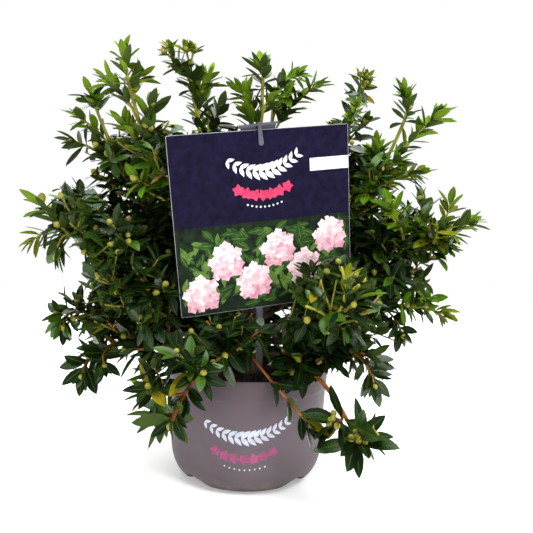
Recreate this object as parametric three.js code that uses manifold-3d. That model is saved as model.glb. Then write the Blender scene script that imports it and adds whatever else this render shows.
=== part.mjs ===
// A dwarf evergreen shrub in its nursery pot: a rounded grey pot filled with compost, one short
// main stem that forks into boughs, a mass of leaves on each bough, and a plain plant label on a
// plastic holder in front.
// Millimetres, +Z up. The origin is the middle of the pot's underside, and the label faces -Y.
import * as THREE from 'three';
import { mergeVertices } from 'three/addons/utils/BufferGeometryUtils.js';
import Module from 'manifold-3d';

const CLEARANCE = 0.3; // gap between pieces that touch on the real plant
const GOLDEN_RATIO = (Math.sqrt(5) - 1) / 2;
const GOLDEN_ANGLE = 2 * Math.PI * (1 - GOLDEN_RATIO);
const ASIDE = new THREE.Vector3(0.31, 0.87, 0.38); // a direction that no limb follows
const WELD = 1e-4; // corners closer than this are one corner

// Pot: a nearly straight wall over a rounded bottom edge, with arched drainage notches
const POT_HEIGHT = 132;
const POT_RIM_RADIUS = 95;
const POT_WALL_RADIUS = 90;
const POT_BASE_RADIUS = 61;
const POT_ROUND_HEIGHT = 44;
const POT_WALL = 2.6;
const POT_BASE_THICKNESS = 18;
const POT_BAND_HEIGHT = 22;
const POT_BAND_STEP = 0.9;
const POT_BAND_SLOPE = 2;
const POT_LIP_ROUND = 1;
const POT_SEGMENTS = 32;
const PROFILE_STEPS = 3; // in each rounded part of a turned profile
const NOTCH_COUNT = 4;
const NOTCH_FIRST_BEARING = 316;
const NOTCH_RADIUS = 22;
const NOTCH_RISE = 14;
const NOTCH_INNER = 40;
const NOTCH_OUTER = 100;
const NOTCH_SEGMENTS = 12;

// Compost, filled to a little under the rim
const SOIL_TOP = 119;
const SOIL_FLAT_RADIUS = 62;
const SOIL_EDGE_DROP = 2.5;
const SOIL_INSET = 1; // from the pot's rounded bottom edge

// Main stem, from its flat cut on the compost to its fork
const TRUNK_TOP = 216;
const TRUNK_LEAN = new THREE.Vector2(4, 3);
const TRUNK_RADII = [16, 12.6, 11, 9.6, 8.4, 7];
const TRUNK_HEIGHTS = [0, 0.06, 0.2, 0.45, 0.72, 1];
const TRUNK_SIDES = 10;

// Plant label: a card on a peg, carried by a stick in the compost
const LABEL_X = 14;
const LABEL_Y = -64;
const LABEL_TURN = 17; // degrees, right-hand side away from the viewer
const LABEL_LEAN = 8; // degrees, top towards the viewer
const LABEL_SIDE = -3.6; // degrees, top to the left
const STICK_WIDTH = 7;
const STICK_DEPTH = 3;
const STICK_RIB = 1.4;
const STICK_WEB = 1.2;
const STICK_BELOW_SOIL = 70;
const PEG_HEIGHT = 264; // above the compost
const PEG_RADIUS = 2.2;
const PEG_SIDES = 10;
const CARD_WIDTH = 188;
const CARD_HEIGHT = 184;
const CARD_THICKNESS = 1.8;
const CARD_TILT = -3.4; // degrees on its peg, right-hand side up
const CARD_ABOVE_PEG = 13;
const HEAD_TILT = -6; // degrees on the stick, right-hand side up
const HEAD_WIDTH = 39;
const HEAD_HEIGHT = 2; // of the lip over the card
const HEAD_PLATE = 2.2;
const HEAD_DROP = 34;
const HEAD_GAP = 4; // between the card's top edge and the lip over it
const TONGUE_WIDTH = 5.2; // at the peg
const TONGUE_NECK = 3.2; // at its top
const TONGUE_RISE = 1.5; // above the lip
const TONGUE_DEPTH = 2;

// Boughs: each ring shares its tip height, its reach from the stem and the arch of its boughs
const RINGS = [
  { name: 'skirt', bearings: [52, 126, 198], reach: 178, tipHeight: 148,
    rootHeight: 132, archOut: 0.55, archHeight: 180 },
  { name: 'hanging', bearings: [305], reach: 202, tipHeight: 86,
    rootHeight: 136, archOut: 0.62, archHeight: 182, lowest: 36 },
  { name: 'front', bearings: [338, 260], reach: 116, tipHeight: 170,
    rootHeight: 152, archOut: 0.55, archHeight: 174 },
  { name: 'waist', bearings: [188, 18, 90, 158], reach: 216, tipHeight: 188,
    rootHeight: 150, archOut: 0.6, archHeight: 200 },
  { name: 'cheek', bearings: [220, 301], reach: 185, tipHeight: 234,
    rootHeight: 155, archOut: 0.6, archHeight: 178 },
  { name: 'middle', bearings: [352, 44, 92, 140, 180, 208], reach: 230, tipHeight: 294,
    rootHeight: 166, archOut: 0.62, archHeight: 228 },
  { name: 'shoulder', bearings: [350, 48, 112, 184, 224], reach: 184, tipHeight: 433,
    rootHeight: 184, archOut: 0.74, archHeight: 292 },
  { name: 'top', bearings: [72, 165, 278], reach: 76, tipHeight: 454,
    rootHeight: 199, archOut: 0.72, archHeight: 324 },
  { name: 'drape', bearings: [246], reach: 162, tipHeight: 112,
    rootHeight: 146, archOut: 0.58, archHeight: 178, lowest: 72 },
];
const CROWN_TILT = -0.025; // the crown's top falls by this much for each millimetre to the right
const CROWN_DEPTH = 0.92; // the crown's depth as a share of its width
const REACH_JITTER = 0.07;
const HEIGHT_JITTER = 11;
const ROOT_SPREAD = 17; // in height, over the roots of one ring on the main stem
const ROOT_OUT = 4.6; // from the main stem's middle to a bough's root
const HUB = 0.46; // where along its line a bough ends and its mass of leaves begins
const BOUGH_RADIUS = 3.7;
const HUB_RADIUS = 2.7;
const STEM_TIP_RADIUS = 2;
const BOUGH_SIDES = 5;
const BOUGH_STEPS = 3;
const STEM_SIDES = 3;
const STEM_STEPS = 3;

// Twigs, rosettes of leaves and round buds on a mass's stem
const LEAF_SEED = 5000;
const TWIGS_PER_MASS = 5;
const TWIG_LENGTH = 62;
const TWIG_RADII = [2.3, 1.9];
const TWIG_SIDES = 3;
const TWIG_PROBES = [0.2, 0.3, 0.4, 0.5, 0.6, 0.7, 0.8, 0.9, 1]; // shares of its length
const TWIG_PLACES = [0.12, 0.86]; // of the first and the last twig, along the stem
const TWIG_SCATTER = 0.6;
const TWIG_LEAN = [42, 68]; // degrees off the stem
const TWIG_LENGTHS = [1.1, 0.65]; // at the foot and the tip of the stem
const TWIG_CHANCE = [0.75, 1.15]; // shortest and longest by chance
const TWIG_TRIES = [1, 0.75, 0.5]; // tried in turn where there is little room
const TWIG_RISE = 0.3; // how much a twig turns towards the light
const LEAVES_PER_TWIG = 5;
const LEAVES_AT_TIP = 6;
const LEAF_LENGTH = 58;
const LEAF_WIDTH = 25;
const LEAF_BELLY = 0.52; // where along the leaf it is widest
const LEAF_FOOT = 2.6; // the leaf's thickness at its foot
const LEAF_FOLD = 1.8;
const LEAF_DROOP = 4;
const LEAF_CHANCE = [0.84, 1.14]; // shortest and longest by chance
const LEAF_SIZES = [1, 0.8, 0.64]; // tried in turn where there is little room
const LEAF_PROBES = [
  [0.2, 0], [0.4, 0], [0.6, 0], [0.8, 0], [1, 0],
  [0.3, 0.55], [0.3, -0.55], [0.52, 1], [0.52, -1], [0.76, 0.5], [0.76, -0.5],
]; // points on a leaf that need room: shares of its length and half-width
const LEAF_ROOT = 0.8; // the volume of a leaf's foot that is sunk in its twig
const LEAF_STEP = 3.2; // along the twig, from one leaf's foot to the next
const LEAF_SPREAD = [50, 84]; // degrees from the twig, first leaf to last
const LEAF_SPREAD_CHANCE = 5;
const BUD_RADIUS = 4.4;
const BUD_SHARE = 0.22;
const BUD_SEAT = 0.75; // the bud's middle ahead of its twig's end, in bud radii

// Room that leaves and twigs keep clear
const CELL_MARGIN = 2.4;
const LIMB_MARGIN = 1.2;
const POT_MARGIN = 3;
const LABEL_MARGIN = 6;
const STICK_MARGIN = 12;
const LOWEST_LEAF = 122; // except on a bough that hangs over the pot's rim

const FINISHES = {
  pot: { color: 0x8a7f84, roughness: 0.55 },
  soil: { color: 0x1d1611, roughness: 1 },
  bark: { color: 0x6b4a30, roughness: 0.85 },
  leaf: { color: 0x1f4a1c, roughness: 0.4 },
  card: { color: 0x211d3a, roughness: 0.45 },
  holder: { color: 0x565b69, roughness: 0.5 },
};

const wasm = await Module();
wasm.setup();
const radians = THREE.MathUtils.degToRad;
const lerp = THREE.MathUtils.lerp;

// Helpers for solids

// A closed three.js geometry as a solid that can be joined and cut.
function toSolid(geometry) {
  const bare = geometry.index ? geometry.toNonIndexed() : geometry.clone();
  bare.deleteAttribute('normal');
  bare.deleteAttribute('uv');
  const merged = mergeVertices(bare, WELD);
  const corners = merged.index.array;
  const triVerts = [];
  for (let i = 0; i < corners.length; i += 3) {
    const [a, b, c] = corners.slice(i, i + 3);
    if (a !== b && b !== c && c !== a) triVerts.push(a, b, c);
  }
  return new wasm.Manifold(new wasm.Mesh({
    numProp: 3,
    vertProperties: merged.attributes.position.array,
    triVerts: new Uint32Array(triVerts),
  }));
}

function toGeometry(solid) {
  const { vertProperties, triVerts } = solid.getMesh();
  const geometry = new THREE.BufferGeometry();
  geometry.setAttribute('position', new THREE.BufferAttribute(vertProperties, 3));
  geometry.setIndex(new THREE.BufferAttribute(triVerts, 1));
  geometry.computeVertexNormals();
  return geometry;
}

// Joins solids and keeps the largest body, so that no loose scrap is left.
function fuse(solids) {
  const bodies = wasm.Manifold.union(solids).decompose();
  return bodies.reduce((best, body) => (body.volume() > best.volume() ? body : best));
}

function namedMesh(name, geometry, finish) {
  const mesh = new THREE.Mesh(geometry, new THREE.MeshStandardMaterial(FINISHES[finish]));
  mesh.name = name;
  return mesh;
}

// A round solid about +Z, from a path of radius and height that starts and ends on the axis.
function turned(path, segments) {
  return new THREE.LatheGeometry(path.getPoints(PROFILE_STEPS), segments).rotateX(Math.PI / 2);
}

// A closed tube through points, with a direction and a radius at each.
function tube(points, directions, radii, sides) {
  const positions = [];
  const index = [];
  const across = ASIDE.clone();
  points.forEach((point, i) => {
    const along = directions[i];
    across.addScaledVector(along, -across.dot(along)).normalize();
    const over = along.clone().cross(across);
    for (let k = 0; k < sides; k++) {
      const turn = (2 * Math.PI * k) / sides;
      const corner = point.clone()
        .addScaledVector(across, radii[i] * Math.cos(turn))
        .addScaledVector(over, radii[i] * Math.sin(turn));
      positions.push(corner.x, corner.y, corner.z);
    }
  });
  for (let i = 0; i + 1 < points.length; i++) {
    for (let k = 0; k < sides; k++) {
      const a = i * sides + k;
      const b = i * sides + ((k + 1) % sides);
      index.push(a, b, b + sides, a, b + sides, a + sides);
    }
  }
  const last = (points.length - 1) * sides;
  for (let k = 1; k + 1 < sides; k++) {
    index.push(0, k + 1, k, last, last + k, last + k + 1);
  }
  const geometry = new THREE.BufferGeometry();
  geometry.setAttribute('position', new THREE.Float32BufferAttribute(positions, 3));
  geometry.setIndex(index);
  return geometry;
}

// The same stream of numbers from 0 to 1 each time, for each seed.
function seededRandom(seed) {
  let state = seed >>> 0;
  return () => {
    state = (state + 0x6d2b79f5) >>> 0;
    let mixed = Math.imul(state ^ (state >>> 15), state | 1);
    mixed ^= mixed + Math.imul(mixed ^ (mixed >>> 7), mixed | 61);
    return ((mixed ^ (mixed >>> 14)) >>> 0) / 4294967296;
  };
}

// Pot and compost

function makePot() {
  const inner = POT_RIM_RADIUS - POT_WALL;
  const path = new THREE.Path();
  path.moveTo(0, 0);
  path.lineTo(POT_BASE_RADIUS, 0);
  path.quadraticCurveTo(POT_WALL_RADIUS, 0, POT_WALL_RADIUS, POT_ROUND_HEIGHT);
  const bandFoot = POT_HEIGHT - POT_BAND_HEIGHT;
  path.lineTo(POT_RIM_RADIUS - 2 * POT_BAND_STEP, bandFoot - POT_BAND_SLOPE);
  path.lineTo(POT_RIM_RADIUS - POT_BAND_STEP, bandFoot);
  path.lineTo(POT_RIM_RADIUS, POT_HEIGHT - POT_LIP_ROUND);
  path.lineTo(POT_RIM_RADIUS - POT_LIP_ROUND, POT_HEIGHT);
  path.lineTo(inner, POT_HEIGHT);
  path.lineTo(POT_WALL_RADIUS - POT_WALL, POT_ROUND_HEIGHT + POT_WALL);
  path.quadraticCurveTo(POT_WALL_RADIUS - POT_WALL, POT_BASE_THICKNESS,
    POT_BASE_RADIUS, POT_BASE_THICKNESS);
  path.lineTo(0, POT_BASE_THICKNESS);
  let pot = toSolid(turned(path, POT_SEGMENTS));
  const reach = NOTCH_OUTER - NOTCH_INNER;
  for (let i = 0; i < NOTCH_COUNT; i++) {
    const bearing = radians(NOTCH_FIRST_BEARING + (360 / NOTCH_COUNT) * i);
    const notch = new THREE.CylinderGeometry(NOTCH_RADIUS, NOTCH_RADIUS, reach, NOTCH_SEGMENTS)
      .rotateZ(Math.PI / 2)
      .translate(NOTCH_INNER + reach / 2, 0, NOTCH_RISE - NOTCH_RADIUS)
      .rotateZ(bearing);
    pot = pot.subtract(toSolid(notch));
  }
  return namedMesh('pot', toGeometry(pot), 'pot');
}

function makeSoil() {
  const gap = CLEARANCE;
  const low = POT_BASE_THICKNESS + gap;
  const share = (SOIL_TOP - POT_ROUND_HEIGHT) / (POT_HEIGHT - POT_ROUND_HEIGHT);
  const edge = lerp(POT_WALL_RADIUS, POT_RIM_RADIUS, share) - POT_WALL - 2 * gap;
  const path = new THREE.Path();
  path.moveTo(0, low);
  path.lineTo(POT_BASE_RADIUS - SOIL_INSET, low);
  path.quadraticCurveTo(POT_WALL_RADIUS - POT_WALL - SOIL_INSET, low,
    POT_WALL_RADIUS - POT_WALL - 2 * gap, POT_ROUND_HEIGHT + POT_WALL + SOIL_INSET);
  path.lineTo(edge, SOIL_TOP - SOIL_EDGE_DROP);
  path.lineTo(SOIL_FLAT_RADIUS, SOIL_TOP);
  path.lineTo(0, SOIL_TOP);
  const pocket = new THREE.BoxGeometry(
    STICK_WIDTH + 2 * gap, STICK_DEPTH + 2 * gap, 2 * STICK_BELOW_SOIL + 2 * gap);
  const soil = toSolid(turned(path, POT_SEGMENTS))
    .subtract(toSolid(pocket.applyMatrix4(labelFrame)));
  return namedMesh('soil', toGeometry(soil), 'soil');
}

// Plant label

const labelFrame = new THREE.Matrix4()
  .makeRotationZ(radians(LABEL_TURN))
  .multiply(new THREE.Matrix4().makeRotationX(radians(LABEL_LEAN)))
  .multiply(new THREE.Matrix4().makeRotationY(radians(LABEL_SIDE)))
  .setPosition(LABEL_X, LABEL_Y, SOIL_TOP);
const cardFrame = labelFrame.clone()
  .multiply(new THREE.Matrix4().makeTranslation(0, -cardFront(), PEG_HEIGHT))
  .multiply(new THREE.Matrix4().makeRotationY(radians(CARD_TILT)));

// How far the middle of the card stands in front of the middle of the stick.
function cardFront() {
  return STICK_DEPTH / 2 + CLEARANCE + CARD_THICKNESS / 2;
}

function flatPiece(shape, thickness, front) {
  const geometry = new THREE.ExtrudeGeometry(shape,
    { depth: thickness, bevelEnabled: false, curveSegments: PEG_SIDES });
  return geometry.rotateX(Math.PI / 2).translate(0, front + thickness, 0);
}

function makeCard() {
  const top = CARD_ABOVE_PEG;
  const half = CARD_WIDTH / 2;
  const shape = new THREE.Shape([
    new THREE.Vector2(-half, top - CARD_HEIGHT),
    new THREE.Vector2(half, top - CARD_HEIGHT),
    new THREE.Vector2(half, top),
    new THREE.Vector2(-half, top),
  ]);
  const hole = new THREE.Path();
  hole.absarc(0, 0, PEG_RADIUS + CLEARANCE, 0, 2 * Math.PI, true);
  shape.holes.push(hole);
  const card = flatPiece(shape, CARD_THICKNESS, -CARD_THICKNESS / 2).applyMatrix4(cardFrame);
  return namedMesh('label_card', toGeometry(toSolid(card)), 'card');
}

function makeHolder() {
  const back = STICK_DEPTH / 2;
  const cardBack = -back - CLEARANCE;
  const tongueBack = cardBack - CARD_THICKNESS - CLEARANCE;
  const topEdge = CARD_ABOVE_PEG + HEAD_GAP;
  const barDepth = back - tongueBack + TONGUE_DEPTH;
  const stickLength = PEG_HEIGHT + CARD_ABOVE_PEG + STICK_BELOW_SOIL;
  const box = (width, depth, height, x, y, z) =>
    toSolid(new THREE.BoxGeometry(width, depth, height).translate(x, y, z));
  const stickMiddle = stickLength / 2 - STICK_BELOW_SOIL;
  const rib = (side) => box(STICK_RIB, STICK_DEPTH, stickLength,
    side * (STICK_WIDTH - STICK_RIB) / 2, 0, stickMiddle);
  const plate = new THREE.Shape([
    new THREE.Vector2(-STICK_WIDTH / 2, topEdge - HEAD_DROP),
    new THREE.Vector2(STICK_WIDTH / 2, topEdge - HEAD_DROP),
    new THREE.Vector2(HEAD_WIDTH / 2, topEdge + HEAD_HEIGHT / 2),
    new THREE.Vector2(-HEAD_WIDTH / 2, topEdge + HEAD_HEIGHT / 2),
  ]);
  const tongue = new THREE.Shape();
  tongue.moveTo(TONGUE_NECK / 2, topEdge + HEAD_HEIGHT + TONGUE_RISE);
  tongue.lineTo(-TONGUE_NECK / 2, topEdge + HEAD_HEIGHT + TONGUE_RISE);
  tongue.lineTo(-TONGUE_WIDTH / 2, 0);
  tongue.absarc(0, 0, TONGUE_WIDTH / 2, Math.PI, 2 * Math.PI, false);
  const peg = new THREE.CylinderGeometry(PEG_RADIUS, PEG_RADIUS, barDepth, PEG_SIDES)
    .translate(0, back - barDepth / 2, 0);
  const head = fuse([
    box(HEAD_WIDTH, barDepth, HEAD_HEIGHT, 0, back - barDepth / 2, topEdge + HEAD_HEIGHT / 2),
    toSolid(flatPiece(plate, HEAD_PLATE, back - HEAD_PLATE)),
    toSolid(flatPiece(tongue, TONGUE_DEPTH, tongueBack - TONGUE_DEPTH)),
    toSolid(peg),
  ]);
  const turnedHead = toGeometry(head)
    .rotateY(radians(HEAD_TILT))
    .translate(0, 0, PEG_HEIGHT);
  const holder = fuse([
    box(STICK_WIDTH, STICK_WEB, stickLength, 0, 0, stickMiddle),
    rib(-1),
    rib(1),
    toSolid(turnedHead),
  ]);
  return namedMesh('label_holder', toGeometry(holder).applyMatrix4(labelFrame), 'holder');
}

// Main stem and boughs

function trunkPoint(share) {
  const lean = share * share;
  return new THREE.Vector3(TRUNK_LEAN.x * lean, TRUNK_LEAN.y * lean,
    lerp(SOIL_TOP + CLEARANCE, TRUNK_TOP, share));
}

function trunkSolid(extra) {
  const points = TRUNK_HEIGHTS.map(trunkPoint);
  const upright = points.map(() => new THREE.Vector3(0, 0, 1));
  points[points.length - 1].z += extra;
  const radii = TRUNK_RADII.map((radius) => radius + extra);
  return toSolid(tube(points, upright, radii, TRUNK_SIDES));
}

// One limb for each bearing of each ring: the line that its bough and its mass's stem follow.
function planLimbs() {
  const limbs = [];
  RINGS.forEach((ring, ringNumber) => {
    ring.bearings.forEach((bearing, i) => {
      const seed = 100 * (ringNumber + 1) + i;
      const random = seededRandom(seed);
      const reach = ring.reach * (1 + REACH_JITTER * (2 * random() - 1));
      const outX = Math.cos(radians(bearing));
      const outY = CROWN_DEPTH * Math.sin(radians(bearing));
      const tipX = reach * outX;
      const rise = ring.tipHeight > TRUNK_TOP ? CROWN_TILT * tipX : 0;
      const tipZ = ring.tipHeight + rise + HEIGHT_JITTER * (2 * random() - 1);
      const rootHeight = ring.rootHeight + ROOT_SPREAD * ((GOLDEN_RATIO * i) % 1);
      const root = trunkPoint((rootHeight - SOIL_TOP) / (TRUNK_TOP - SOIL_TOP))
        .add(new THREE.Vector3(ROOT_OUT * outX, ROOT_OUT * outY, 0));
      const bend = reach * ring.archOut;
      limbs.push({
        name: `${ring.name}_${i + 1}`,
        seed,
        lowest: ring.lowest ?? LOWEST_LEAF,
        line: new THREE.QuadraticBezierCurve3(root,
          new THREE.Vector3(bend * outX, bend * outY, ring.archHeight),
          new THREE.Vector3(tipX, reach * outY, tipZ)),
      });
    });
  });
  for (const limb of limbs) {
    limb.bough = evenly(0, HUB, BOUGH_STEPS).map((share) => limb.line.getPoint(share));
    limb.stem = evenly(HUB, 1, STEM_STEPS).map((share) => limb.line.getPoint(share));
    limb.stem[0].addScaledVector(limb.line.getTangent(HUB), CLEARANCE);
    limb.sleeve = boughTube(limb, LIMB_MARGIN);
  }
  return limbs;
}

function evenly(from, to, steps) {
  return Array.from({ length: steps + 1 }, (_, i) => lerp(from, to, i / steps));
}

function limbTube(limb, points, from, to, radii, sides) {
  const steps = points.length - 1;
  const directions = evenly(from, to, steps).map((share) => limb.line.getTangent(share));
  return toSolid(tube(points, directions, evenly(...radii, steps), sides));
}

function boughTube(limb, extra) {
  const radii = [BOUGH_RADIUS + extra, HUB_RADIUS + extra];
  return limbTube(limb, limb.bough, 0, HUB, radii, BOUGH_SIDES);
}

function makeBough(limb, socket) {
  const bough = boughTube(limb, 0).subtract(socket);
  return namedMesh(`bough_${limb.name}`, toGeometry(fuse([bough])), 'bark');
}

// Masses of leaves

function distanceToLine(point, line) {
  const nearest = new THREE.Vector3();
  let best = Infinity;
  for (let i = 0; i + 1 < line.length; i++) {
    new THREE.Line3(line[i], line[i + 1]).closestPointToPoint(point, true, nearest);
    best = Math.min(best, nearest.distanceTo(point));
  }
  return best;
}

// True where a leaf or twig of this limb's mass may be: in the mass's own space and clear of the
// limbs, the pot, the label and the ground.
function roomAt(point, limb, limbs) {
  if (point.z < limb.lowest) return false;
  const fromAxis = Math.hypot(point.x, point.y);
  if (fromAxis < POT_RIM_RADIUS + POT_MARGIN && point.z < POT_HEIGHT + POT_MARGIN) return false;
  const onCard = point.clone().applyMatrix4(cardFrame.clone().invert());
  const aboveCard = onCard.z > CARD_ABOVE_PEG + HEAD_GAP + HEAD_HEIGHT + LABEL_MARGIN;
  const besideCard = Math.abs(onCard.x) > CARD_WIDTH / 2 + LABEL_MARGIN;
  const underCard = onCard.z < CARD_ABOVE_PEG - CARD_HEIGHT - LABEL_MARGIN;
  const byStick = Math.abs(onCard.x) < STICK_WIDTH + STICK_MARGIN;
  const offCard = aboveCard || besideCard || (underCard && !byStick);
  if (!offCard && Math.abs(onCard.y) < LABEL_MARGIN + STICK_DEPTH) return false;
  const fromStem = distanceToLine(point, limb.stem);
  return limbs.every((other) => {
    if (distanceToLine(point, other.bough) < BOUGH_RADIUS + LIMB_MARGIN) return false;
    return other === limb || distanceToLine(point, other.stem) - fromStem > CELL_MARGIN;
  });
}

// A folded blade along +X with its upper side to +Z. Its thick foot is at the origin.
function leafBlade(length) {
  const size = length / LEAF_LENGTH;
  const half = size * LEAF_WIDTH / 2;
  const corners = [
    [0, 0, LEAF_FOOT / 2],
    [0, 0, -LEAF_FOOT / 2],
    [LEAF_BELLY * length, half, size * LEAF_FOLD],
    [LEAF_BELLY * length, -half, size * LEAF_FOLD],
    [length, 0, -size * LEAF_DROOP],
  ];
  const blade = new THREE.BufferGeometry();
  blade.setAttribute('position', new THREE.Float32BufferAttribute(corners.flat(), 3));
  blade.setIndex([0, 3, 4, 0, 4, 2, 1, 4, 3, 1, 2, 4, 0, 2, 1, 0, 1, 3]);
  return blade;
}

// Places a leaf with its foot on a twig, leaning away from the twig's own direction.
function leafFrame(foot, along, around, spread) {
  const across = ASIDE.clone().cross(along).normalize();
  const over = along.clone().cross(across);
  const away = across.multiplyScalar(Math.cos(around)).addScaledVector(over, Math.sin(around));
  const ahead = along.clone().multiplyScalar(Math.cos(spread))
    .addScaledVector(away, Math.sin(spread));
  const upper = along.clone().addScaledVector(ahead, -along.dot(ahead)).normalize();
  return new THREE.Matrix4().makeBasis(ahead, upper.clone().cross(ahead), upper)
    .setPosition(foot);
}

// Points on a leaf that have to be in its mass's space.
function leafProbes(length, frame) {
  const half = LEAF_WIDTH * length / LEAF_LENGTH / 2;
  const probes = [];
  for (const [x, y] of LEAF_PROBES) {
    probes.push(new THREE.Vector3(x * length, y * half, 0).applyMatrix4(frame));
  }
  return probes;
}

// The leaves at the end of a twig, and a round bud in the middle of some rosettes. A leaf that
// would leave the mass's space or touch another part of the mass is grown smaller or not at all.
function growRosette(twig, tip, along, leafCount, random, hasRoom, others) {
  const rosette = [];
  const phase = 2 * Math.PI * random();
  for (let i = 0; i < leafCount; i++) {
    const full = LEAF_LENGTH * lerp(...LEAF_CHANCE, random());
    const spread = lerp(...LEAF_SPREAD, i / (leafCount - 1))
      + LEAF_SPREAD_CHANCE * (2 * random() - 1);
    const foot = tip.clone().addScaledVector(along, -LEAF_STEP * (i + 1));
    const frame = leafFrame(foot, along, phase + GOLDEN_ANGLE * i, radians(spread));
    const leaf = LEAF_SIZES.map((size) => size * full)
      .filter((length) => leafProbes(length, frame).every(hasRoom))
      .map((length) => toSolid(leafBlade(length).applyMatrix4(frame)))
      .find((blade) => !touches(blade, [...others, ...rosette]));
    if (leaf && leaf.intersect(twig).volume() > LEAF_ROOT) rosette.push(leaf);
  }
  if (random() < BUD_SHARE) {
    const middle = tip.clone().addScaledVector(along, BUD_SEAT * BUD_RADIUS);
    const ball = new THREE.IcosahedronGeometry(BUD_RADIUS).translate(...middle);
    const bud = toSolid(ball);
    const clear = !touches(bud, [...others, ...rosette]);
    if (clear && cornersOf(ball).every(hasRoom)) rosette.push(bud);
  }
  return rosette;
}

function cornersOf(geometry) {
  const { position } = geometry.attributes;
  return Array.from({ length: position.count },
    (_, i) => new THREE.Vector3().fromBufferAttribute(position, i));
}

function touches(solid, others) {
  return others.some((other) => !solid.intersect(other).isEmpty());
}

// The direction of a side twig: off its stem at an angle, and turned a little to the light.
function twigDirection(along, turn, lean) {
  const across = new THREE.Vector3(-along.y, along.x, 0).normalize();
  const over = along.clone().cross(across);
  return along.clone().multiplyScalar(Math.cos(lean))
    .addScaledVector(across, Math.sin(lean) * Math.cos(turn))
    .addScaledVector(over, Math.sin(lean) * Math.sin(turn))
    .add(new THREE.Vector3(0, 0, TWIG_RISE))
    .normalize();
}

function makeMass(limb, limbs) {
  const random = seededRandom(limb.seed + LEAF_SEED);
  const hasRoom = (point) => roomAt(point, limb, limbs);
  const stem = limbTube(limb, limb.stem, HUB, 1, [HUB_RADIUS, STEM_TIP_RADIUS], STEM_SIDES);
  const tip = limb.stem[limb.stem.length - 1];
  const outward = limb.line.getTangent(1);
  const sleeves = [trunkSolid(LIMB_MARGIN), ...limbs.map((other) => other.sleeve)];
  const grown = growRosette(stem, tip, outward, LEAVES_AT_TIP, random, hasRoom, sleeves);
  for (let i = 0; i < TWIGS_PER_MASS; i++) {
    const share = lerp(...TWIG_PLACES, (i + TWIG_SCATTER * random()) / TWIGS_PER_MASS);
    const at = lerp(HUB, 1, share);
    const foot = limb.line.getPoint(at);
    const lean = radians(lerp(...TWIG_LEAN, random()));
    const along = twigDirection(limb.line.getTangent(at), GOLDEN_ANGLE * i + random(), lean);
    const length = TWIG_LENGTH * lerp(...TWIG_LENGTHS, share) * lerp(...TWIG_CHANCE, random());
    const end = TWIG_TRIES
      .map((part) => foot.clone().addScaledVector(along, part * length))
      .find((point) => TWIG_PROBES.every((part) => hasRoom(foot.clone().lerp(point, part))));
    if (!end) continue;
    const twig = toSolid(tube([foot, end], [along, along], TWIG_RADII, TWIG_SIDES));
    if (touches(twig, [...grown, ...sleeves])) continue;
    const others = [...grown, ...sleeves, stem];
    const rosette = growRosette(twig, end, along, LEAVES_PER_TWIG, random, hasRoom, others);
    if (rosette.length) grown.push(twig, ...rosette);
  }
  return namedMesh(`leaves_${limb.name}`, toGeometry(fuse([stem, ...grown])), 'leaf');
}

// The whole plant

const plant = new THREE.Group();
const limbs = planLimbs();
const socket = trunkSolid(CLEARANCE);
plant.add(makePot(), makeSoil(), makeCard(), makeHolder());
plant.add(namedMesh('main_stem', toGeometry(trunkSolid(0)), 'bark'));
for (const limb of limbs) {
  plant.add(makeBough(limb, socket), makeMass(limb, limbs));
}

export default plant;
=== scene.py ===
import math
import random

import bpy
import numpy as np
from mathutils import Matrix, Vector, noise


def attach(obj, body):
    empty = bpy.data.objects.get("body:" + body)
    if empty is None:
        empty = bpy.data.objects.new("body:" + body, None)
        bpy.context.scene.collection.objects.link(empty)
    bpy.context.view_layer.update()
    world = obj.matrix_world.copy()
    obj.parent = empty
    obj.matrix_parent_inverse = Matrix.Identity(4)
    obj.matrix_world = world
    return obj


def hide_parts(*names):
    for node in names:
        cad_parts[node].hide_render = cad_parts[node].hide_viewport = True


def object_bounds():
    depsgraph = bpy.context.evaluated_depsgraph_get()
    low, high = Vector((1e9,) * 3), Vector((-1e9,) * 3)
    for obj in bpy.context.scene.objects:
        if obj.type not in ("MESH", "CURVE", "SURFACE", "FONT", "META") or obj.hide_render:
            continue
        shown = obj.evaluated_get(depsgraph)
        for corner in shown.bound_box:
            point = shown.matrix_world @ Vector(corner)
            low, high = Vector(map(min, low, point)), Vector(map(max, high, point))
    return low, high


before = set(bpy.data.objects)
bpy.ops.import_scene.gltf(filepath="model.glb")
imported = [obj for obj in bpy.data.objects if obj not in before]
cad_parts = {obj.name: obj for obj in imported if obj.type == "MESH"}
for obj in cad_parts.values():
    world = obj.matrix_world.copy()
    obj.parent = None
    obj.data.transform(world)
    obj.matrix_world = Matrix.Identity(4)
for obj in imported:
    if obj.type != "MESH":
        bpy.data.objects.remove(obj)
CAD_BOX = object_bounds()

# Lengths below are in millimetres, in the part's own frame; pieces are made in metres.
MM = 0.001
UP = np.array([0.0, 0.0, 1.0])
FULL_TURN = 2 * math.pi
GOLDEN_RATIO = (math.sqrt(5) - 1) / 2
GOLDEN_ANGLE = FULL_TURN * (1 - GOLDEN_RATIO)

# Pot and compost
POT_HEIGHT = 132
POT_RIM_RADIUS = 95
POT_WALL_RADIUS = 90
POT_BASE_RADIUS = 61
POT_ROUND_HEIGHT = 44
POT_WALL = 2.6
POT_BASE_THICKNESS = 18
POT_BAND_HEIGHT = 22
POT_BAND_STEP = 0.9
POT_BAND_SLOPE = 2
POT_LIP_ROUND = 1
POT_SEGMENTS = 320
NOTCH_COUNT = 4
NOTCH_FIRST_BEARING = 316
NOTCH_RADIUS = 22
NOTCH_RISE = 14
NOTCH_INNER = 40
SOIL_TOP = 119
SOIL_EDGE_DROP = 2.5
SOIL_RADIUS = 91.2
SOIL_FLAT_RADIUS = 62
SOIL_EDGE = 30
SOIL_SINK = 0.6
CHIP_COUNT = 420
CHIP_SEED = 77

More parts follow.
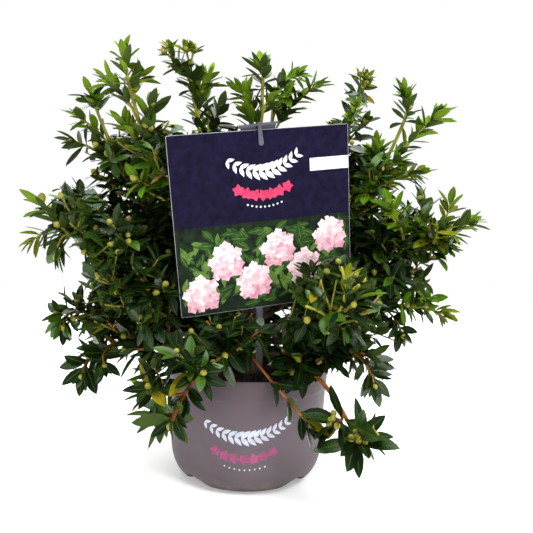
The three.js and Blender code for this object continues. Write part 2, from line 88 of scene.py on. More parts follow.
# Main stem
TRUNK_TOP = 216
TRUNK_GAP = 0.3  # over the compost
TRUNK_LEAN = (4, 3)
TRUNK_RADII = [16, 12.6, 11, 9.6, 8.4, 7]
TRUNK_HEIGHTS = [0, 0.06, 0.2, 0.45, 0.72, 1]

# Plant label and its holder
LABEL_PLACE = (14, -64, SOIL_TOP)
LABEL_TURN = 17
LABEL_LEAN = 8
LABEL_SIDE = -3.6
PEG_HEIGHT = 264
CARD_WIDTH = 188
CARD_HEIGHT = 184
CARD_THICKNESS = 1.8
CARD_TILT = -3.4
CARD_ABOVE_PEG = 13
CARD_FORWARD = 2.7

# Boughs: ring, bearings, reach, tip height, root height, arch out, arch height, lowest leaf
LOWEST_LEAF = 122
RINGS = [
    ("skirt", [52, 126, 198], 178, 148, 132, 0.55, 180, LOWEST_LEAF),
    ("hanging", [305], 202, 86, 136, 0.62, 182, 36),
    ("front", [338, 260], 116, 170, 152, 0.55, 174, LOWEST_LEAF),
    ("waist", [188, 18, 90, 158], 216, 188, 150, 0.6, 200, LOWEST_LEAF),
    ("cheek", [220, 301], 185, 234, 155, 0.6, 178, LOWEST_LEAF),
    ("middle", [352, 44, 92, 140, 180, 208], 230, 294, 166, 0.62, 228, LOWEST_LEAF),
    ("shoulder", [350, 48, 112, 184, 224], 184, 433, 184, 0.74, 292, LOWEST_LEAF),
    ("top", [72, 165, 278], 76, 454, 199, 0.72, 324, LOWEST_LEAF),
    ("drape", [246], 162, 112, 146, 0.58, 178, 72),
]
CROWN_TILT = -0.025
CROWN_DEPTH = 0.92
REACH_JITTER = 0.07
HEIGHT_JITTER = 11
ROOT_SPREAD = 17
ROOT_OUT = 4.6
HUB = 0.46
BOUGH_RADIUS = 3.7
HUB_RADIUS = 2.7
STEM_TIP_RADIUS = 1.7

# Shoots that stand out of the crown's outline: limb, place along it, point reached, look
LEADERS = [
    ("shoulder_4", 0.74, (-212, -10, 424), "fresh"),
    ("shoulder_4", 0.90, (-184, -20, 445), "bright"),
    ("shoulder_4", 0.62, (-220, -5, 395), "mid"),
    ("shoulder_5", 0.95, (-131, -100, 480), "bright"),
    ("shoulder_5", 0.88, (-113, -85, 462), "fresh"),
    ("shoulder_5", 0.82, (-159, -90, 453), "bright"),
    ("shoulder_5", 0.70, (-104, -90, 429), "mid"),
    ("shoulder_5", 0.62, (-141, -95, 411), "olive"),
    ("top_2", 0.92, (-103, 10, 497), "bronze"),
    ("top_2", 0.84, (-78, 0, 492), "bronze"),
    ("top_2", 0.76, (-53, 20, 483), "bright"),
    ("top_2", 0.66, (-71, 30, 464), "fresh"),
    ("top_2", 0.56, (-39, 10, 444), "dark"),
    ("top_3", 0.70, (-20, -60, 455), "bright"),
    ("top_3", 0.96, (5, -62, 479), "bright"),
    ("top_3", 0.62, (-8, -70, 430), "olive"),
    ("top_3", 0.80, (25, -55, 447), "fresh"),
    ("top_1", 0.80, (41, 0, 461), "fresh"),
    ("top_1", 0.92, (61, 10, 481), "fresh"),
    ("top_1", 0.70, (83, 20, 475), "fresh"),
    ("shoulder_2", 0.90, (137, 60, 478), "bronze"),
    ("shoulder_2", 0.80, (128, 45, 454), "bright"),
    ("shoulder_2", 0.70, (98, 50, 428), "bright"),
    ("shoulder_1", 0.94, (168, -28, 464), "bright"),
    ("shoulder_1", 0.60, (219, -25, 437), "leafy"),
    ("shoulder_1", 0.60, (141, -45, 396), "bright"),
    ("shoulder_1", 0.66, (173, -40, 380), "fresh"),
    ("shoulder_1", 0.56, (203, -20, 368), "olive"),
    ("middle_1", 0.80, (234, -25, 340), "olive"),
    ("middle_1", 0.92, (262, -30, 314), "fresh"),
    ("middle_1", 0.88, (237, -35, 287), "fresh"),
    ("middle_1", 0.62, (149, -80, 335), "fresh"),
    ("middle_1", 0.70, (190, -55, 341), "mid"),
    ("middle_6", 0.85, (-237, -60, 323), "tipped"),
    ("middle_6", 0.92, (-209, -100, 254), "dark"),
    ("middle_5", 0.85, (-264, -30, 270), "tipped"),
    ("middle_5", 0.75, (-209, -40, 318), "mid"),
    ("waist_1", 0.88, (-221, -40, 167), "mid"),
    ("waist_1", 0.80, (-202, -50, 212), "dark"),
    ("waist_2", 0.80, (253, 15, 191), "olive"),
    ("waist_2", 0.88, (226, 0, 216), "fresh"),
    ("waist_2", 0.70, (195, 0, 160), "dark"),
    ("skirt_3", 0.85, (-187, -85, 123), "dark"),
    ("skirt_3", 0.80, (-157, -95, 137), "dark"),
    ("front_1", 0.92, (150, -75, 117), "dark"),
    ("front_1", 0.80, (162, -50, 142), "dark"),
    ("front_1", 0.66, (79, -105, 154), "dark"),
    ("front_2", 0.34, (72, -146, 96), "trailing"),
    ("front_2", 0.45, (-139, -100, 162), "trailing"),
    ("drape_1", 0.78, (-62, -128, 119), "single"),
    ("front_2", 0.86, (-38, -128, 155), "single"),
    ("hanging_1", 0.42, (50, -112, 143), "dark"),
    ("waist_4", 0.88, (-216, 84, 236), "fresh"),
    ("drape_1", 0.86, (-98, -128, 90), "single"),
    ("cheek_2", 0.80, (91, -165, 277), "twiggy"),
    ("cheek_2", 0.70, (51, -170, 232), "twiggy"),
    ("cheek_2", 0.90, (119, -150, 246), "twiggy"),
    ("hanging_1", 0.34, (41, -100, 169), "dark"),
    ("hanging_1", 0.38, (60, -112, 160), "dark"),
    ("hanging_1", 0.30, (77, -95, 173), "dark"),
    ("hanging_1", 0.26, (56, -85, 179), "dark"),
    ("drape_1", 0.94, (-83, -132, 97), "single"),
    ("shoulder_5", 0.66, (-108, -110, 402), "budded"),
    ("front_1", 0.50, (102, -95, 190), "dark"),
    ("hanging_1", 0.82, (88, -152, 100), "open"),
    ("hanging_1", 0.95, (114, -163, 91), "open"),
    ("hanging_1", 0.90, (132, -160, 92), "open"),
    ("middle_1", 0.86, (212, -38, 290), "fresh"),
    ("middle_3", 0.94, (-10, 259, 287), "fresh"),
    ("middle_3", 0.86, (14, 246, 318), "bright"),
    ("middle_3", 0.78, (-42, 238, 332), "mid"),
    ("middle_1", 0.66, (151, -72, 324), "fresh"),
    ("middle_1", 0.78, (189, -52, 315), "fresh"),
    ("shoulder_1", 0.54, (128, -70, 347), "fresh"),
    ("waist_3", 0.30, (33, 30, 184), "dark"),
    ("waist_3", 0.26, (25, 60, 174), "dark"),
    ("shoulder_1", 0.50, (142, -35, 401), "fresh"),
    ("shoulder_2", 0.72, (139, 30, 432), "dark"),
    ("waist_3", 0.86, (18, 232, 228), "mid"),
    ("waist_3", 0.92, (-16, 238, 196), "dark"),
]
ASIDE = np.array([0.31, 0.87, 0.38])  # a direction that no limb follows


def lerp(a, b, t):
    return a + (b - a) * t


def unit(v):
    return v / np.linalg.norm(v)


def vec(*numbers):
    return np.array(numbers, float)


def around(sides):
    """The angles of a ring of corners."""
    return np.linspace(0, FULL_TURN, sides, endpoint=False)


def arch(a, bend, b, s):
    """The point at a share of the curve from a to b that is drawn towards the bend."""
    t = 1 - s
    return t * t * a + 2 * s * t * bend + s * s * b


# Pieces


class Bundle:
    """Corners and triangles of many small things that become one joined piece."""

    def __init__(self):
        self.corners, self.faces, self.finishes, self.count = [], [], [], 0

    def add(self, corners, faces, finish=0):
        corners = np.asarray(corners, float)
        faces = np.asarray(faces, int)
        self.corners.append(corners)
        self.faces.append(faces + self.count)
        self.finishes.append(np.broadcast_to(finish, len(faces)))
        self.count += len(corners)

    def make(self, name, materials, slot, nodes=(), smooth=True):
        corners = np.concatenate(self.corners) * MM
        faces = np.concatenate(self.faces)
        mesh = bpy.data.meshes.new(name)
        mesh.from_pydata(corners.tolist(), [], faces.tolist())
        for material in materials:
            mesh.materials.append(material)
        finishes = np.concatenate(self.finishes).astype(np.int32)
        mesh.polygons.foreach_set("material_index", finishes)
        mesh.polygons.foreach_set("use_smooth", np.full(len(faces), smooth))
        mesh.update()
        piece = bpy.data.objects.new(name, mesh)
        bpy.context.scene.collection.objects.link(piece)
        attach(piece, "root")
        if nodes:
            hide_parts(*nodes)
        return piece


def quads_to_triangles(quads):
    quads = np.asarray(quads, int)
    return np.concatenate([quads[:, [0, 1, 2]], quads[:, [0, 2, 3]]])


def grid_faces(rows, columns, closed):
    """Triangles over a grid of corners, row by row, wrapped round if closed."""
    last = columns if closed else columns - 1
    quads = []
    for r in range(rows - 1):
        for c in range(last):
            d = (c + 1) % columns
            a = r * columns
            quads.append((a + c, a + d, a + columns + d, a + columns + c))
    return quads_to_triangles(quads)


def carried_frames(points):
    """Two directions across a line at each of its points, turned as little as possible."""
    points = np.asarray(points)
    ahead = np.gradient(points, axis=0)
    ahead /= np.linalg.norm(ahead, axis=1)[:, None]
    side = np.cross(ahead[0], UP if abs(ahead[0][2]) < 0.9 else vec(1, 0, 0))
    sides = []
    for direction in ahead:
        side = unit(side - direction * side.dot(direction))
        sides.append(side)
    sides = np.array(sides)
    return ahead, sides, np.cross(ahead, sides)


def tube(points, radii, sides):
    """A closed round tube along a line; radii has one value a point or one a corner."""
    points = np.asarray(points, float)
    ahead, across, over = carried_frames(points)
    turn = around(sides)
    ring = (
        across[:, None, :] * np.cos(turn)[None, :, None]
        + over[:, None, :] * np.sin(turn)[None, :, None]
    )
    radii = np.asarray(radii, float)
    if radii.ndim == 1:
        radii = radii[:, None]
    corners = (points[:, None, :] + ring * radii[..., None]).reshape(-1, 3)
    rows = len(points)
    faces = grid_faces(rows, sides, True)
    start, end = len(corners), len(corners) + 1
    corners = np.vstack([corners, points[0], points[-1] + ahead[-1] * radii[-1].mean() * 0.7])
    last = (rows - 1) * sides
    caps = []
    for c in range(sides):
        d = (c + 1) % sides
        caps.append((start, d, c))
        caps.append((end, last + c, last + d))
    return corners, np.concatenate([faces, np.array(caps)])


# Materials: their nodes work in metres

LEAF_SHINE = 0.60
PAINTED_SHADE_SHINE = 0.10
YOUNG_SHINE = 0.03
CARD_SHINE = 0.07
STEM_SHINE = 0.2
POT_SHINE = 0.28
PLAIN_SHINE = 0.5
LEAF_LOOKS = {  # darker and lighter colour, roughness, shine
    # the first look is painted shade: near-black leaves put where the crown is in shade, inside it
    # and low in front
    "painted_shade": ((0.002, 0.008, 0.001), (0.006, 0.019, 0.002), 0.40, PAINTED_SHADE_SHINE),
    "dark": ((0.006, 0.021, 0.002), (0.016, 0.046, 0.004), 0.26, LEAF_SHINE),
    "mid": ((0.022, 0.068, 0.002), (0.052, 0.130, 0.006), 0.28, LEAF_SHINE),
    "fresh": ((0.044, 0.125, 0.003), (0.095, 0.200, 0.008), 0.34, YOUNG_SHINE),
    "bright": ((0.105, 0.210, 0.008), (0.210, 0.325, 0.022), 0.38, YOUNG_SHINE),
    "olive": ((0.070, 0.085, 0.002), (0.150, 0.165, 0.006), 0.38, YOUNG_SHINE),
    "bronze": ((0.130, 0.110, 0.004), (0.280, 0.240, 0.010), 0.38, YOUNG_SHINE),
    "old": ((0.150, 0.108, 0.022), (0.275, 0.200, 0.055), 0.50, YOUNG_SHINE),
    "rib": ((0.036, 0.075, 0.010), (0.070, 0.115, 0.018), 0.40, YOUNG_SHINE),
    "under": ((0.028, 0.052, 0.010), (0.055, 0.085, 0.018), 0.55, YOUNG_SHINE),
    "young_rib": ((0.180, 0.235, 0.030), (0.240, 0.290, 0.050), 0.45, YOUNG_SHINE),
    "under_young": ((0.080, 0.150, 0.006), (0.160, 0.245, 0.018), 0.50, YOUNG_SHINE),
}
LEAF_TONES = ("painted_shade", "dark", "mid", "fresh", "bright", "olive", "bronze", "old")
PALE_TONES = LEAF_TONES[3:]
STEM_LOOKS = {  # darker and lighter colour, patches a metre
    "twig_old": ((0.130, 0.036, 0.007), (0.340, 0.115, 0.018), 120),
    "twig_inner": ((0.100, 0.096, 0.012), (0.270, 0.245, 0.036), 90),
    "twig_young": ((0.190, 0.195, 0.016), (0.340, 0.330, 0.045), 90),
    "bud": ((0.190, 0.180, 0.020), (0.340, 0.315, 0.055), 160),
    "bud_tan": ((0.250, 0.170, 0.050), (0.420, 0.310, 0.110), 160),
    "compost_chip": ((0.040, 0.022, 0.012), (0.160, 0.095, 0.055), 200),
}
INK_LOOKS = {  # darker and lighter colour, roughness
    "card_navy": ((0.0022, 0.0015, 0.0106), (0.0082, 0.0057, 0.0275), 0.50),
    "card_white": ((0.640, 0.640, 0.660), (0.800, 0.800, 0.815), 0.60),
    "card_edge": ((0.260, 0.260, 0.290), (0.400, 0.400, 0.430), 0.60),
    "card_ground": ((0.003, 0.006, 0.004), (0.012, 0.026, 0.010), 0.45),
    "card_leaf": ((0.010, 0.034, 0.006), (0.034, 0.085, 0.014), 0.45),
    "card_leaf_pale": ((0.045, 0.105, 0.014), (0.120, 0.200, 0.040), 0.45),
    "card_vein": ((0.060, 0.120, 0.030), (0.120, 0.200, 0.060), 0.45),
    "card_white_pink": ((0.680, 0.500, 0.530), (0.860, 0.720, 0.740), 0.45),
    "card_pale_pink": ((0.560, 0.320, 0.370), (0.780, 0.550, 0.590), 0.45),
    "card_pink": ((0.480, 0.190, 0.270), (0.680, 0.360, 0.430), 0.45),
    "card_rose": ((0.420, 0.030, 0.085), (0.620, 0.060, 0.140), 0.45),
    "card_heart": ((0.620, 0.420, 0.330), (0.820, 0.640, 0.500), 0.45),
    "pot_print_pale": ((0.400, 0.420, 0.490), (0.540, 0.560, 0.640), 0.55),
    "pot_print_rose": ((0.230, 0.060, 0.125), (0.360, 0.085, 0.190), 0.55),
}


class Finish:
    """A material, its shader's sockets and the nodes that the finishes here are made of."""

    def __init__(self, name, roughness, shine=PLAIN_SHINE):
        self.material = bpy.data.materials.new(name)
        self.material.use_nodes = True
        self.nodes = self.material.node_tree.nodes
        self.links = self.material.node_tree.links
        self.shader = self.nodes["Principled BSDF"].inputs
        self.shader["Roughness"].default_value = roughness
        self.shader["Specular IOR Level"].default_value = shine
        self.place = self.nodes.new("ShaderNodeTexCoord").outputs["Object"]

    def node(self, kind, output, inputs, **settings):
        """The output of a new node, whose inputs are numbers or other nodes' outputs."""
        node = self.nodes.new("ShaderNode" + kind)
        for name, value in settings.items():
            setattr(node, name, value)
        for socket, value in inputs.items():
            if isinstance(value, bpy.types.NodeSocket):
                self.links.new(value, node.inputs[socket])
            else:
                node.inputs[socket].default_value = value
        return node.outputs[output]

    def noise(self, scale, detail, stretch=None):
        place = self.place
        if stretch:
            place = self.node("Mapping", "Vector", {"Vector": place, "Scale": stretch})
        return self.node("TexNoise", "Fac", {"Vector": place, "Scale": scale, "Detail": detail})

    def ramp(self, source, *stops):
        node = self.nodes.new("ShaderNodeValToRGB")
        elements = node.color_ramp.elements
        while len(elements) < len(stops):
            elements.new(0.5)
        for element, (position, colour) in zip(elements, stops):
            element.position = position
            element.color = (*colour, 1)
        self.links.new(source, node.inputs["Fac"])
        return node.outputs["Color"]

    def blend(self, share, a, b):
        return self.node("Mix", "Result", {"Factor": share, "A": a, "B": b}, data_type="RGBA")

    def range(self, source, low, high, to_low, to_high):
        ends = {"From Min": low, "From Max": high, "To Min": to_low, "To Max": to_high}
        return self.node("MapRange", "Result", {"Value": source, **ends})

    def product(self, a, b):
        return self.node("Math", "Value", {0: a, 1: b}, operation="MULTIPLY")

    def height(self):
        return self.node("SeparateXYZ", "Z", {"Vector": self.place})

    def colour(self, source):
        self.links.new(source, self.shader["Base Color"])

    def rough(self, source, low, high):
        self.links.new(self.range(source, 0.3, 0.7, low, high), self.shader["Roughness"])

    def bump(self, source, strength, distance):
        inputs = {"Height": source, "Strength": strength, "Distance": distance}
        self.links.new(self.node("Bump", "Normal", inputs), self.shader["Normal"])


def leaf_finish(name, darker, lighter, gloss, shine):
    finish = Finish(name, gloss, shine)
    finish.colour(finish.ramp(finish.noise(48, 2), (0.32, darker), (0.68, lighter)))
    grain = finish.noise(900, 2)
    finish.rough(grain, gloss - 0.05, gloss + 0.1)
    finish.bump(grain, 0.25, 0.0004)
    return finish.material


def stem_finish(name, darker, lighter, scale):
    finish = Finish(name, 0.6, STEM_SHINE)
    finish.colour(finish.ramp(finish.noise(scale, 4), (0.3, darker), (0.7, lighter)))
    grain = finish.noise(700, 3)
    finish.rough(grain, 0.5, 0.72)
    finish.bump(grain, 0.5, 0.0006)
    return finish.material


def ink_finish(name, darker, lighter, roughness):
    finish = Finish(name, roughness, CARD_SHINE)
    cloud = finish.noise(150, 7)
    finish.colour(finish.ramp(cloud, (0.32, darker), (0.70, lighter)))
    finish.rough(cloud, roughness - 0.05, roughness + 0.08)
    finish.bump(finish.noise(2200, 2), 0.12, 0.0002)
    return finish.material


def bark_finish():
    finish = Finish("bark", 0.85)
    streaks = finish.noise(160, 5, (1, 1, 0.25))
    finish.colour(finish.ramp(
        streaks,
        (0.30, (0.030, 0.018, 0.011)),
        (0.50, (0.105, 0.062, 0.038)),
        (0.72, (0.240, 0.165, 0.110)),
    ))
    finish.rough(streaks, 0.75, 0.95)
    finish.bump(streaks, 0.8, 0.0012)
    return finish.material


def pot_finish():
    """Grey plastic, with painted shade of the leaves darkening it towards the rim, and dirty at
    the foot.
    """
    finish = Finish("pot_plastic", 0.55, POT_SHINE)
    cloud, dirt_and_shade, height = finish.noise(14, 4), finish.noise(70, 6), finish.height()
    plain = finish.ramp(cloud, (0.30, (0.078, 0.060, 0.070)), (0.70, (0.108, 0.085, 0.099)))
    # painted shade: a darker copy of the plastic for the wall under the leaves
    shaded = finish.ramp(cloud, (0.30, (0.050, 0.033, 0.039)), (0.70, (0.074, 0.051, 0.060)))
    dirt = finish.ramp(dirt_and_shade, (0.35, (0.060, 0.042, 0.030)), (0.70, (0.150, 0.118, 0.096)))
    edge = finish.ramp(dirt_and_shade, (0.35, (0.020, 0.014, 0.011)), (0.70, (0.070, 0.054, 0.046)))
    # share of the painted shade, from none lower on the wall to most at the rim
    upper = finish.range(height, 0.080, 0.122, 0.0, 0.85)
    low = finish.range(height, 0.004, 0.024, 1.0, 0.0)
    patchy = finish.range(dirt_and_shade, 0.40, 0.60, 0.0, 0.9)
    lowest = finish.range(height, 0.007, 0.012, 0.8, 0.0)
    plastic = finish.blend(upper, plain, shaded)
    plastic = finish.blend(finish.product(low, patchy), plastic, dirt)
    finish.colour(finish.blend(lowest, plastic, edge))
    finish.rough(cloud, 0.46, 0.62)
    finish.bump(finish.noise(1500, 2), 0.18, 0.0003)
    return finish.material


def soil_finish():
    finish = Finish("compost", 0.95)
    crumbs = finish.noise(420, 6)
    finish.colour(finish.ramp(
        crumbs,
        (0.28, (0.006, 0.004, 0.003)),
        (0.55, (0.026, 0.016, 0.010)),
        (0.78, (0.085, 0.056, 0.036)),
    ))
    finish.bump(crumbs, 0.9, 0.002)
    return finish.material


def holder_finish():
    """Blue grey plastic, darkened with painted shade on the stick where it stands under the
    leaves.
    """
    finish = Finish("holder_plastic", 0.4)
    cloud = finish.noise(40, 3)
    unshaded = finish.ramp(cloud, (0.30, (0.040, 0.044, 0.062)), (0.70, (0.085, 0.092, 0.122)))
    # painted shade: a dark copy of the plastic for the stick under the leaves
    dirt_and_shade = finish.ramp(cloud, (0.30, (0.016, 0.015, 0.015)), (0.70, (0.060, 0.058, 0.060)))
    # share of the painted shade: all of it below 170 mm, none above 215 mm
    low = finish.range(finish.height(), 0.170, 0.215, 1.0, 0.0)
    finish.colour(finish.blend(low, unshaded, dirt_and_shade))
    finish.rough(cloud, 0.32, 0.48)
    finish.bump(finish.noise(1600, 2), 0.12, 0.0002)
    return finish.material


LEAF = {name: leaf_finish("leaf_" + name, *look) for name, look in LEAF_LOOKS.items()}
STEM = {name: stem_finish(name, *look) for name, look in STEM_LOOKS.items()}
INK = {name: ink_finish(name, *look) for name, look in INK_LOOKS.items()}
BARK = bark_finish()
POT = pot_finish()
SOIL = soil_finish()
HOLDER = holder_finish()


# Limbs, worked out as in the part's source


def seeded(seed):
    state = seed

    def draw():
        nonlocal state
        state = (state + 0x6D2B79F5) & 0xFFFFFFFF
        mixed = ((state ^ (state >> 15)) * (state | 1)) & 0xFFFFFFFF
        inner = ((mixed ^ (mixed >> 7)) * (mixed | 61)) & 0xFFFFFFFF
        mixed ^= (mixed + inner) & 0xFFFFFFFF
        return (mixed ^ (mixed >> 14)) / 4294967296

    return draw


def trunk_point(share):
    lean = share * share
    height = lerp(SOIL_TOP + TRUNK_GAP, TRUNK_TOP, share)
    return vec(TRUNK_LEAN[0] * lean, TRUNK_LEAN[1] * lean, height)


class Limb:
    """The line that a bough and the stem of its mass of leaves follow."""

    def __init__(self, ring, number, seed, lowest, root, bend, tip):
        self.ring, self.name, self.seed = ring, f"{ring}_{number}", seed
        self.lowest = lowest
        self.root, self.bend, self.tip = root, bend, tip

    def point(self, u):
        return arch(self.root, self.bend, self.tip, u)

    def heading(self, u):
        return unit((1 - u) * (self.bend - self.root) + u * (self.tip - self.bend))

    def radius(self, u):
        if u < HUB:
            return lerp(BOUGH_RADIUS, HUB_RADIUS, u / HUB)
        return lerp(HUB_RADIUS, STEM_TIP_RADIUS, (u - HUB) / (1 - HUB))


def plan_limbs():
    limbs = []
    for number, row in enumerate(RINGS):
        ring, bearings, far, tip_height, low, arch_out, arch_height, lowest = row
        for i, bearing in enumerate(bearings):
            seed = 100 * (number + 1) + i
            draw = seeded(seed)
            reach = far * (1 + REACH_JITTER * (2 * draw() - 1))
            out_x = math.cos(math.radians(bearing))
            out_y = CROWN_DEPTH * math.sin(math.radians(bearing))
            rise = CROWN_TILT * reach * out_x if tip_height > TRUNK_TOP else 0
            tip_z = tip_height + rise + HEIGHT_JITTER * (2 * draw() - 1)
            root_height = low + ROOT_SPREAD * ((GOLDEN_RATIO * i) % 1)
            root = trunk_point((root_height - SOIL_TOP) / (TRUNK_TOP - SOIL_TOP))
            root = root + vec(ROOT_OUT * out_x, ROOT_OUT * out_y, 0)
            bend = vec(reach * arch_out * out_x, reach * arch_out * out_y, arch_height)
            tip = vec(reach * out_x, reach * out_y, tip_z)
            limbs.append(Limb(ring, i + 1, seed, lowest, root, bend, tip))
    return limbs


# Where leaves and twigs may be

LABEL_FRAME = (
    Matrix.Translation(LABEL_PLACE)
    @ Matrix.Rotation(math.radians(LABEL_TURN), 4, "Z")
    @ Matrix.Rotation(math.radians(LABEL_LEAN), 4, "X")
    @ Matrix.Rotation(math.radians(LABEL_SIDE), 4, "Y")
)
CARD_FRAME = (
    LABEL_FRAME
    @ Matrix.Translation((0, -CARD_FORWARD, PEG_HEIGHT))
    @ Matrix.Rotation(math.radians(CARD_TILT), 4, "Y")
)
TO_LABEL = np.array(LABEL_FRAME.inverted())
TO_CARD = np.array(CARD_FRAME.inverted())
BOX_LOW = np.array(CAD_BOX[0]) / MM
BOX_HIGH = np.array(CAD_BOX[1]) / MM
BOX_MARGIN = 8
POT_CLEAR_RADIUS = POT_RIM_RADIUS + 3
POT_CLEAR_HEIGHT = POT_HEIGHT + 3
CARD_CLEAR = 4
CARD_SIDE = CARD_WIDTH / 2 + 2
CARD_TOP = CARD_ABOVE_PEG + 8
CARD_LOW = CARD_ABOVE_PEG - CARD_HEIGHT - 2
CARD_VIEW = 220  # how far in front of the card its face is kept in sight
CARD_OPEN_SIDE = 18  # leaves may stand before its lower right corner, right of here
CARD_OPEN_HEIGHT = -112  # and below here
STICK_CLEAR = 7
STICK_SEEN = (13, -58, 170)  # no leaf hides the stick's foot: its x, the y in front of it, the z
STICK_SEEN_HALF = 5

# The body of the crown, without the shoots that stand out of it: reach at each height
CROWN_HEIGHTS = [118, 150, 172, 207, 254, 277, 300, 324, 348, 375, 396, 408]
CROWN_REACHES = [155, 178, 188, 205, 200, 212, 218, 205, 180, 186, 135, 0]
CROWN_LEAN = 0.05  # the body of the crown is lower towards +X
CROWN_LUMPS = ((0.09, 3, 31), (0.07, 7, -19))  # size, lumps round the crown, pitch up it


def placed(matrix, points):
    return points @ matrix[:3, :3].T + matrix[:3, 3]


def has_room(points):
    """True if all these points are clear of the pot, the label and the sides of the box."""
    if (points < BOX_LOW - BOX_MARGIN).any() or (points > BOX_HIGH + BOX_MARGIN).any():
        return False
    from_axis = np.hypot(points[:, 0], points[:, 1])
    if ((from_axis < POT_CLEAR_RADIUS) & (points[:, 2] < POT_CLEAR_HEIGHT)).any():
        return False
    x, y, z = placed(TO_CARD, points).T
    over = (abs(x) < CARD_SIDE) & (z > CARD_LOW) & (z < CARD_TOP)
    if (over & (abs(y) < CARD_CLEAR)).any():
        return False
    corner = (x > CARD_OPEN_SIDE) & (z < CARD_OPEN_HEIGHT)
    if (over & ~corner & (y < 0) & (y > -CARD_VIEW)).any():
        return False
    if (over & (y < 0)).any() and (over & (y > 0)).any():
        return False
    x, y, z = points.T
    aside = abs(x - STICK_SEEN[0]) < STICK_SEEN_HALF
    if (aside & (y < STICK_SEEN[1]) & (z < STICK_SEEN[2])).any():
        return False
    x, y, z = placed(TO_LABEL, points).T
    return not ((abs(x) < STICK_CLEAR) & (abs(y) < STICK_CLEAR) & (z < PEG_HEIGHT)).any()


def crown_share(points):
    """How far out these points are in the body of the crown: 0 at its axis, 1 at its outline."""
    x, y, z = points.T
    z = z + CROWN_LEAN * x
    bearing = np.arctan2(y, x)
    lumps = 1
    for size, count, pitch in CROWN_LUMPS:
        lumps = lumps + size * np.sin(count * bearing + z / pitch)
    limit = np.interp(z, CROWN_HEIGHTS, CROWN_REACHES)
    return np.hypot(x, y / CROWN_DEPTH) / (lumps * np.maximum(limit, 1))


# Growth

LEAF_LENGTH = (20, 33)
LEAF_WIDTH = (0.34, 0.43)  # of its length
LEAF_SPREAD = (34, 66)  # degrees off the shoot
LEAF_SAG = (0, 0.16)
LEAF_RAISE = (0.5, 1.0)  # how far a leaf turns its face upwards
LEAF_ROLL = 0.2
LEAF_FOLD = (0.02, 0.38)
LEAF_CURL = (-0.02, 0.18)
LOW_LEAF = 1.12  # leaves of the lowest boughs are larger and slimmer
LOW_WIDTH = 0.94
YOUNG_LENGTH = (18, 28)
YOUNG_WIDTH = (0.32, 0.41)
YOUNG_SPREAD = (22, 52)
ROSETTE_LEAVES = (6, 9)
ROSETTE_SPREAD = (38, 88)
ROSETTE_GROWTH = (0.8, 1.08)  # in length, from its inner to its outer leaves
ROSETTE_JITTER = 9
OLD_BELOW, BRONZE_BELOW, OTHER_BELOW = 0.008, 0.03, 0.24  # a draw below these gives the tone
# chances, by ring, below which a dark or mid leaf takes the painted-shade tone
PAINTED_SHADE_BELOW = {"skirt": 0.6, "hanging": 0.6, "front": 0.6, "drape": 0.85}
PAINTED_SHADE_BELOW_ELSEWHERE = 0.3
SHADE_SHARE = 0.82  # of the crown's reach; most leaves further in are in shade and take the painted-shade tone
SHADE_CHANCE = 0.85
FRESH_CHANCE, FRESH_HIGH, FRESH_OUT = 0.05, 0.30, 0.15  # anywhere, at the top, at the outside
FRESH_FROM, FRESH_RISE = 300, 200
MID_CHANCE, LOW_MID_CHANCE = 0.4, 0.2
SAME_TONE_CHANCE = 0.7
BUD_CHANCE, BUD_TAN_CHANCE = 0.38, 0.1
BUD_RADIUS = (2.7, 3.9)
BUD_GAP = (0.5, 3)
CLUSTER_BUDS = 7
TWIG_COUNTS = {
    "skirt": 11, "hanging": 0, "front": 7, "waist": 14, "cheek": 12,
    "middle": 17, "shoulder": 19, "top": 15, "drape": 2,
}
TWIG_FROM = {  # along the limb
    "skirt": 0.24, "waist": 0.22, "drape": 0.72, "middle": 0.34, "shoulder": 0.26, "top": 0.30,
}
TWIG_FROM_ELSEWHERE = HUB - 0.06
TWIG_TO = 0.94
TWIG_LENGTH = 60
TWIG_LENGTHS = (1.1, 0.6)
TWIG_JITTER = (0.75, 1.1)
TWIG_PARTS = (1, 0.75, 0.5)  # of its length that a twig tries to grow
TWIG_LEAN = (40, 68)
TWIG_RISE = 0.3
TWIG_DRIFT = 0.07
TWIG_RADII = (1.75, 1.15)
SIDE_TWIGS = 4
SIDE_PLACES = (0.38, 0.92)
SIDE_LEAN = (34, 62)
SIDE_LENGTH = (14, 32)
SIDE_RADII = (1.2, 0.9)
SIDE_LEAVES = 0.95
TIP_LEAVES = 9
LEADER_RADII = (1.9, 1.25)
LEADER_BEND, TRAILING_BEND = 0.45, 0.2
LEADER_HANG = 30
LEAF_OVER_TIP = 17  # how far a shoot's uppermost leaves reach beyond its end
WHORL_STEP = 17
WHORL_LEAVES = (3, 5)
# chances that a whorl of an older shoot takes the painted-shade tone, elsewhere and low down
WHORL_PAINTED_SHADE, LOW_WHORL_PAINTED_SHADE = 0.35, 0.5
WHORL_LAST = 0.97
YOUNG_STEP = 11.5
YOUNG_LOOKS = ("fresh", "bright", "olive", "bronze", "leafy")
LOOK_MIXES = {look: ("mid", "dark", "dark") for look in YOUNG_LOOKS}
LOOK_MIXES["twiggy"] = ("olive", "olive", "bronze", "bronze")
MIX_CHANCE = 0.36
LEADER_TONES = {
    "bronze": "mid", "trailing": "dark", "budded": "mid", "open": "dark",
    "single": "dark", "twiggy": "mid", "tipped": "dark", "leafy": "bright",
}
BARE_SHARES = {"trailing": 0.62, "twiggy": 0.6, "leafy": 0.5}
BARE_YOUNG, BARE_ELSEWHERE = 0.42, 0.3
OPEN_SIZES = {"open": 1.28, "single": 1.1}
TUFT_TWIGS = 4
TUFT_LENGTH = (10, 18)
TUFT_LEAN = (14, 46)
TUFT_RADII = (1.4, 1.2)
UPRIGHT_PLACES = (0.76, 0.96)
UPRIGHT_REACH = (55, 85)
UPRIGHT_SHORTEST = 30
SPRAY_SEED, LEADER_SEED, UPRIGHT_SEED = 5000, 4000, 9000
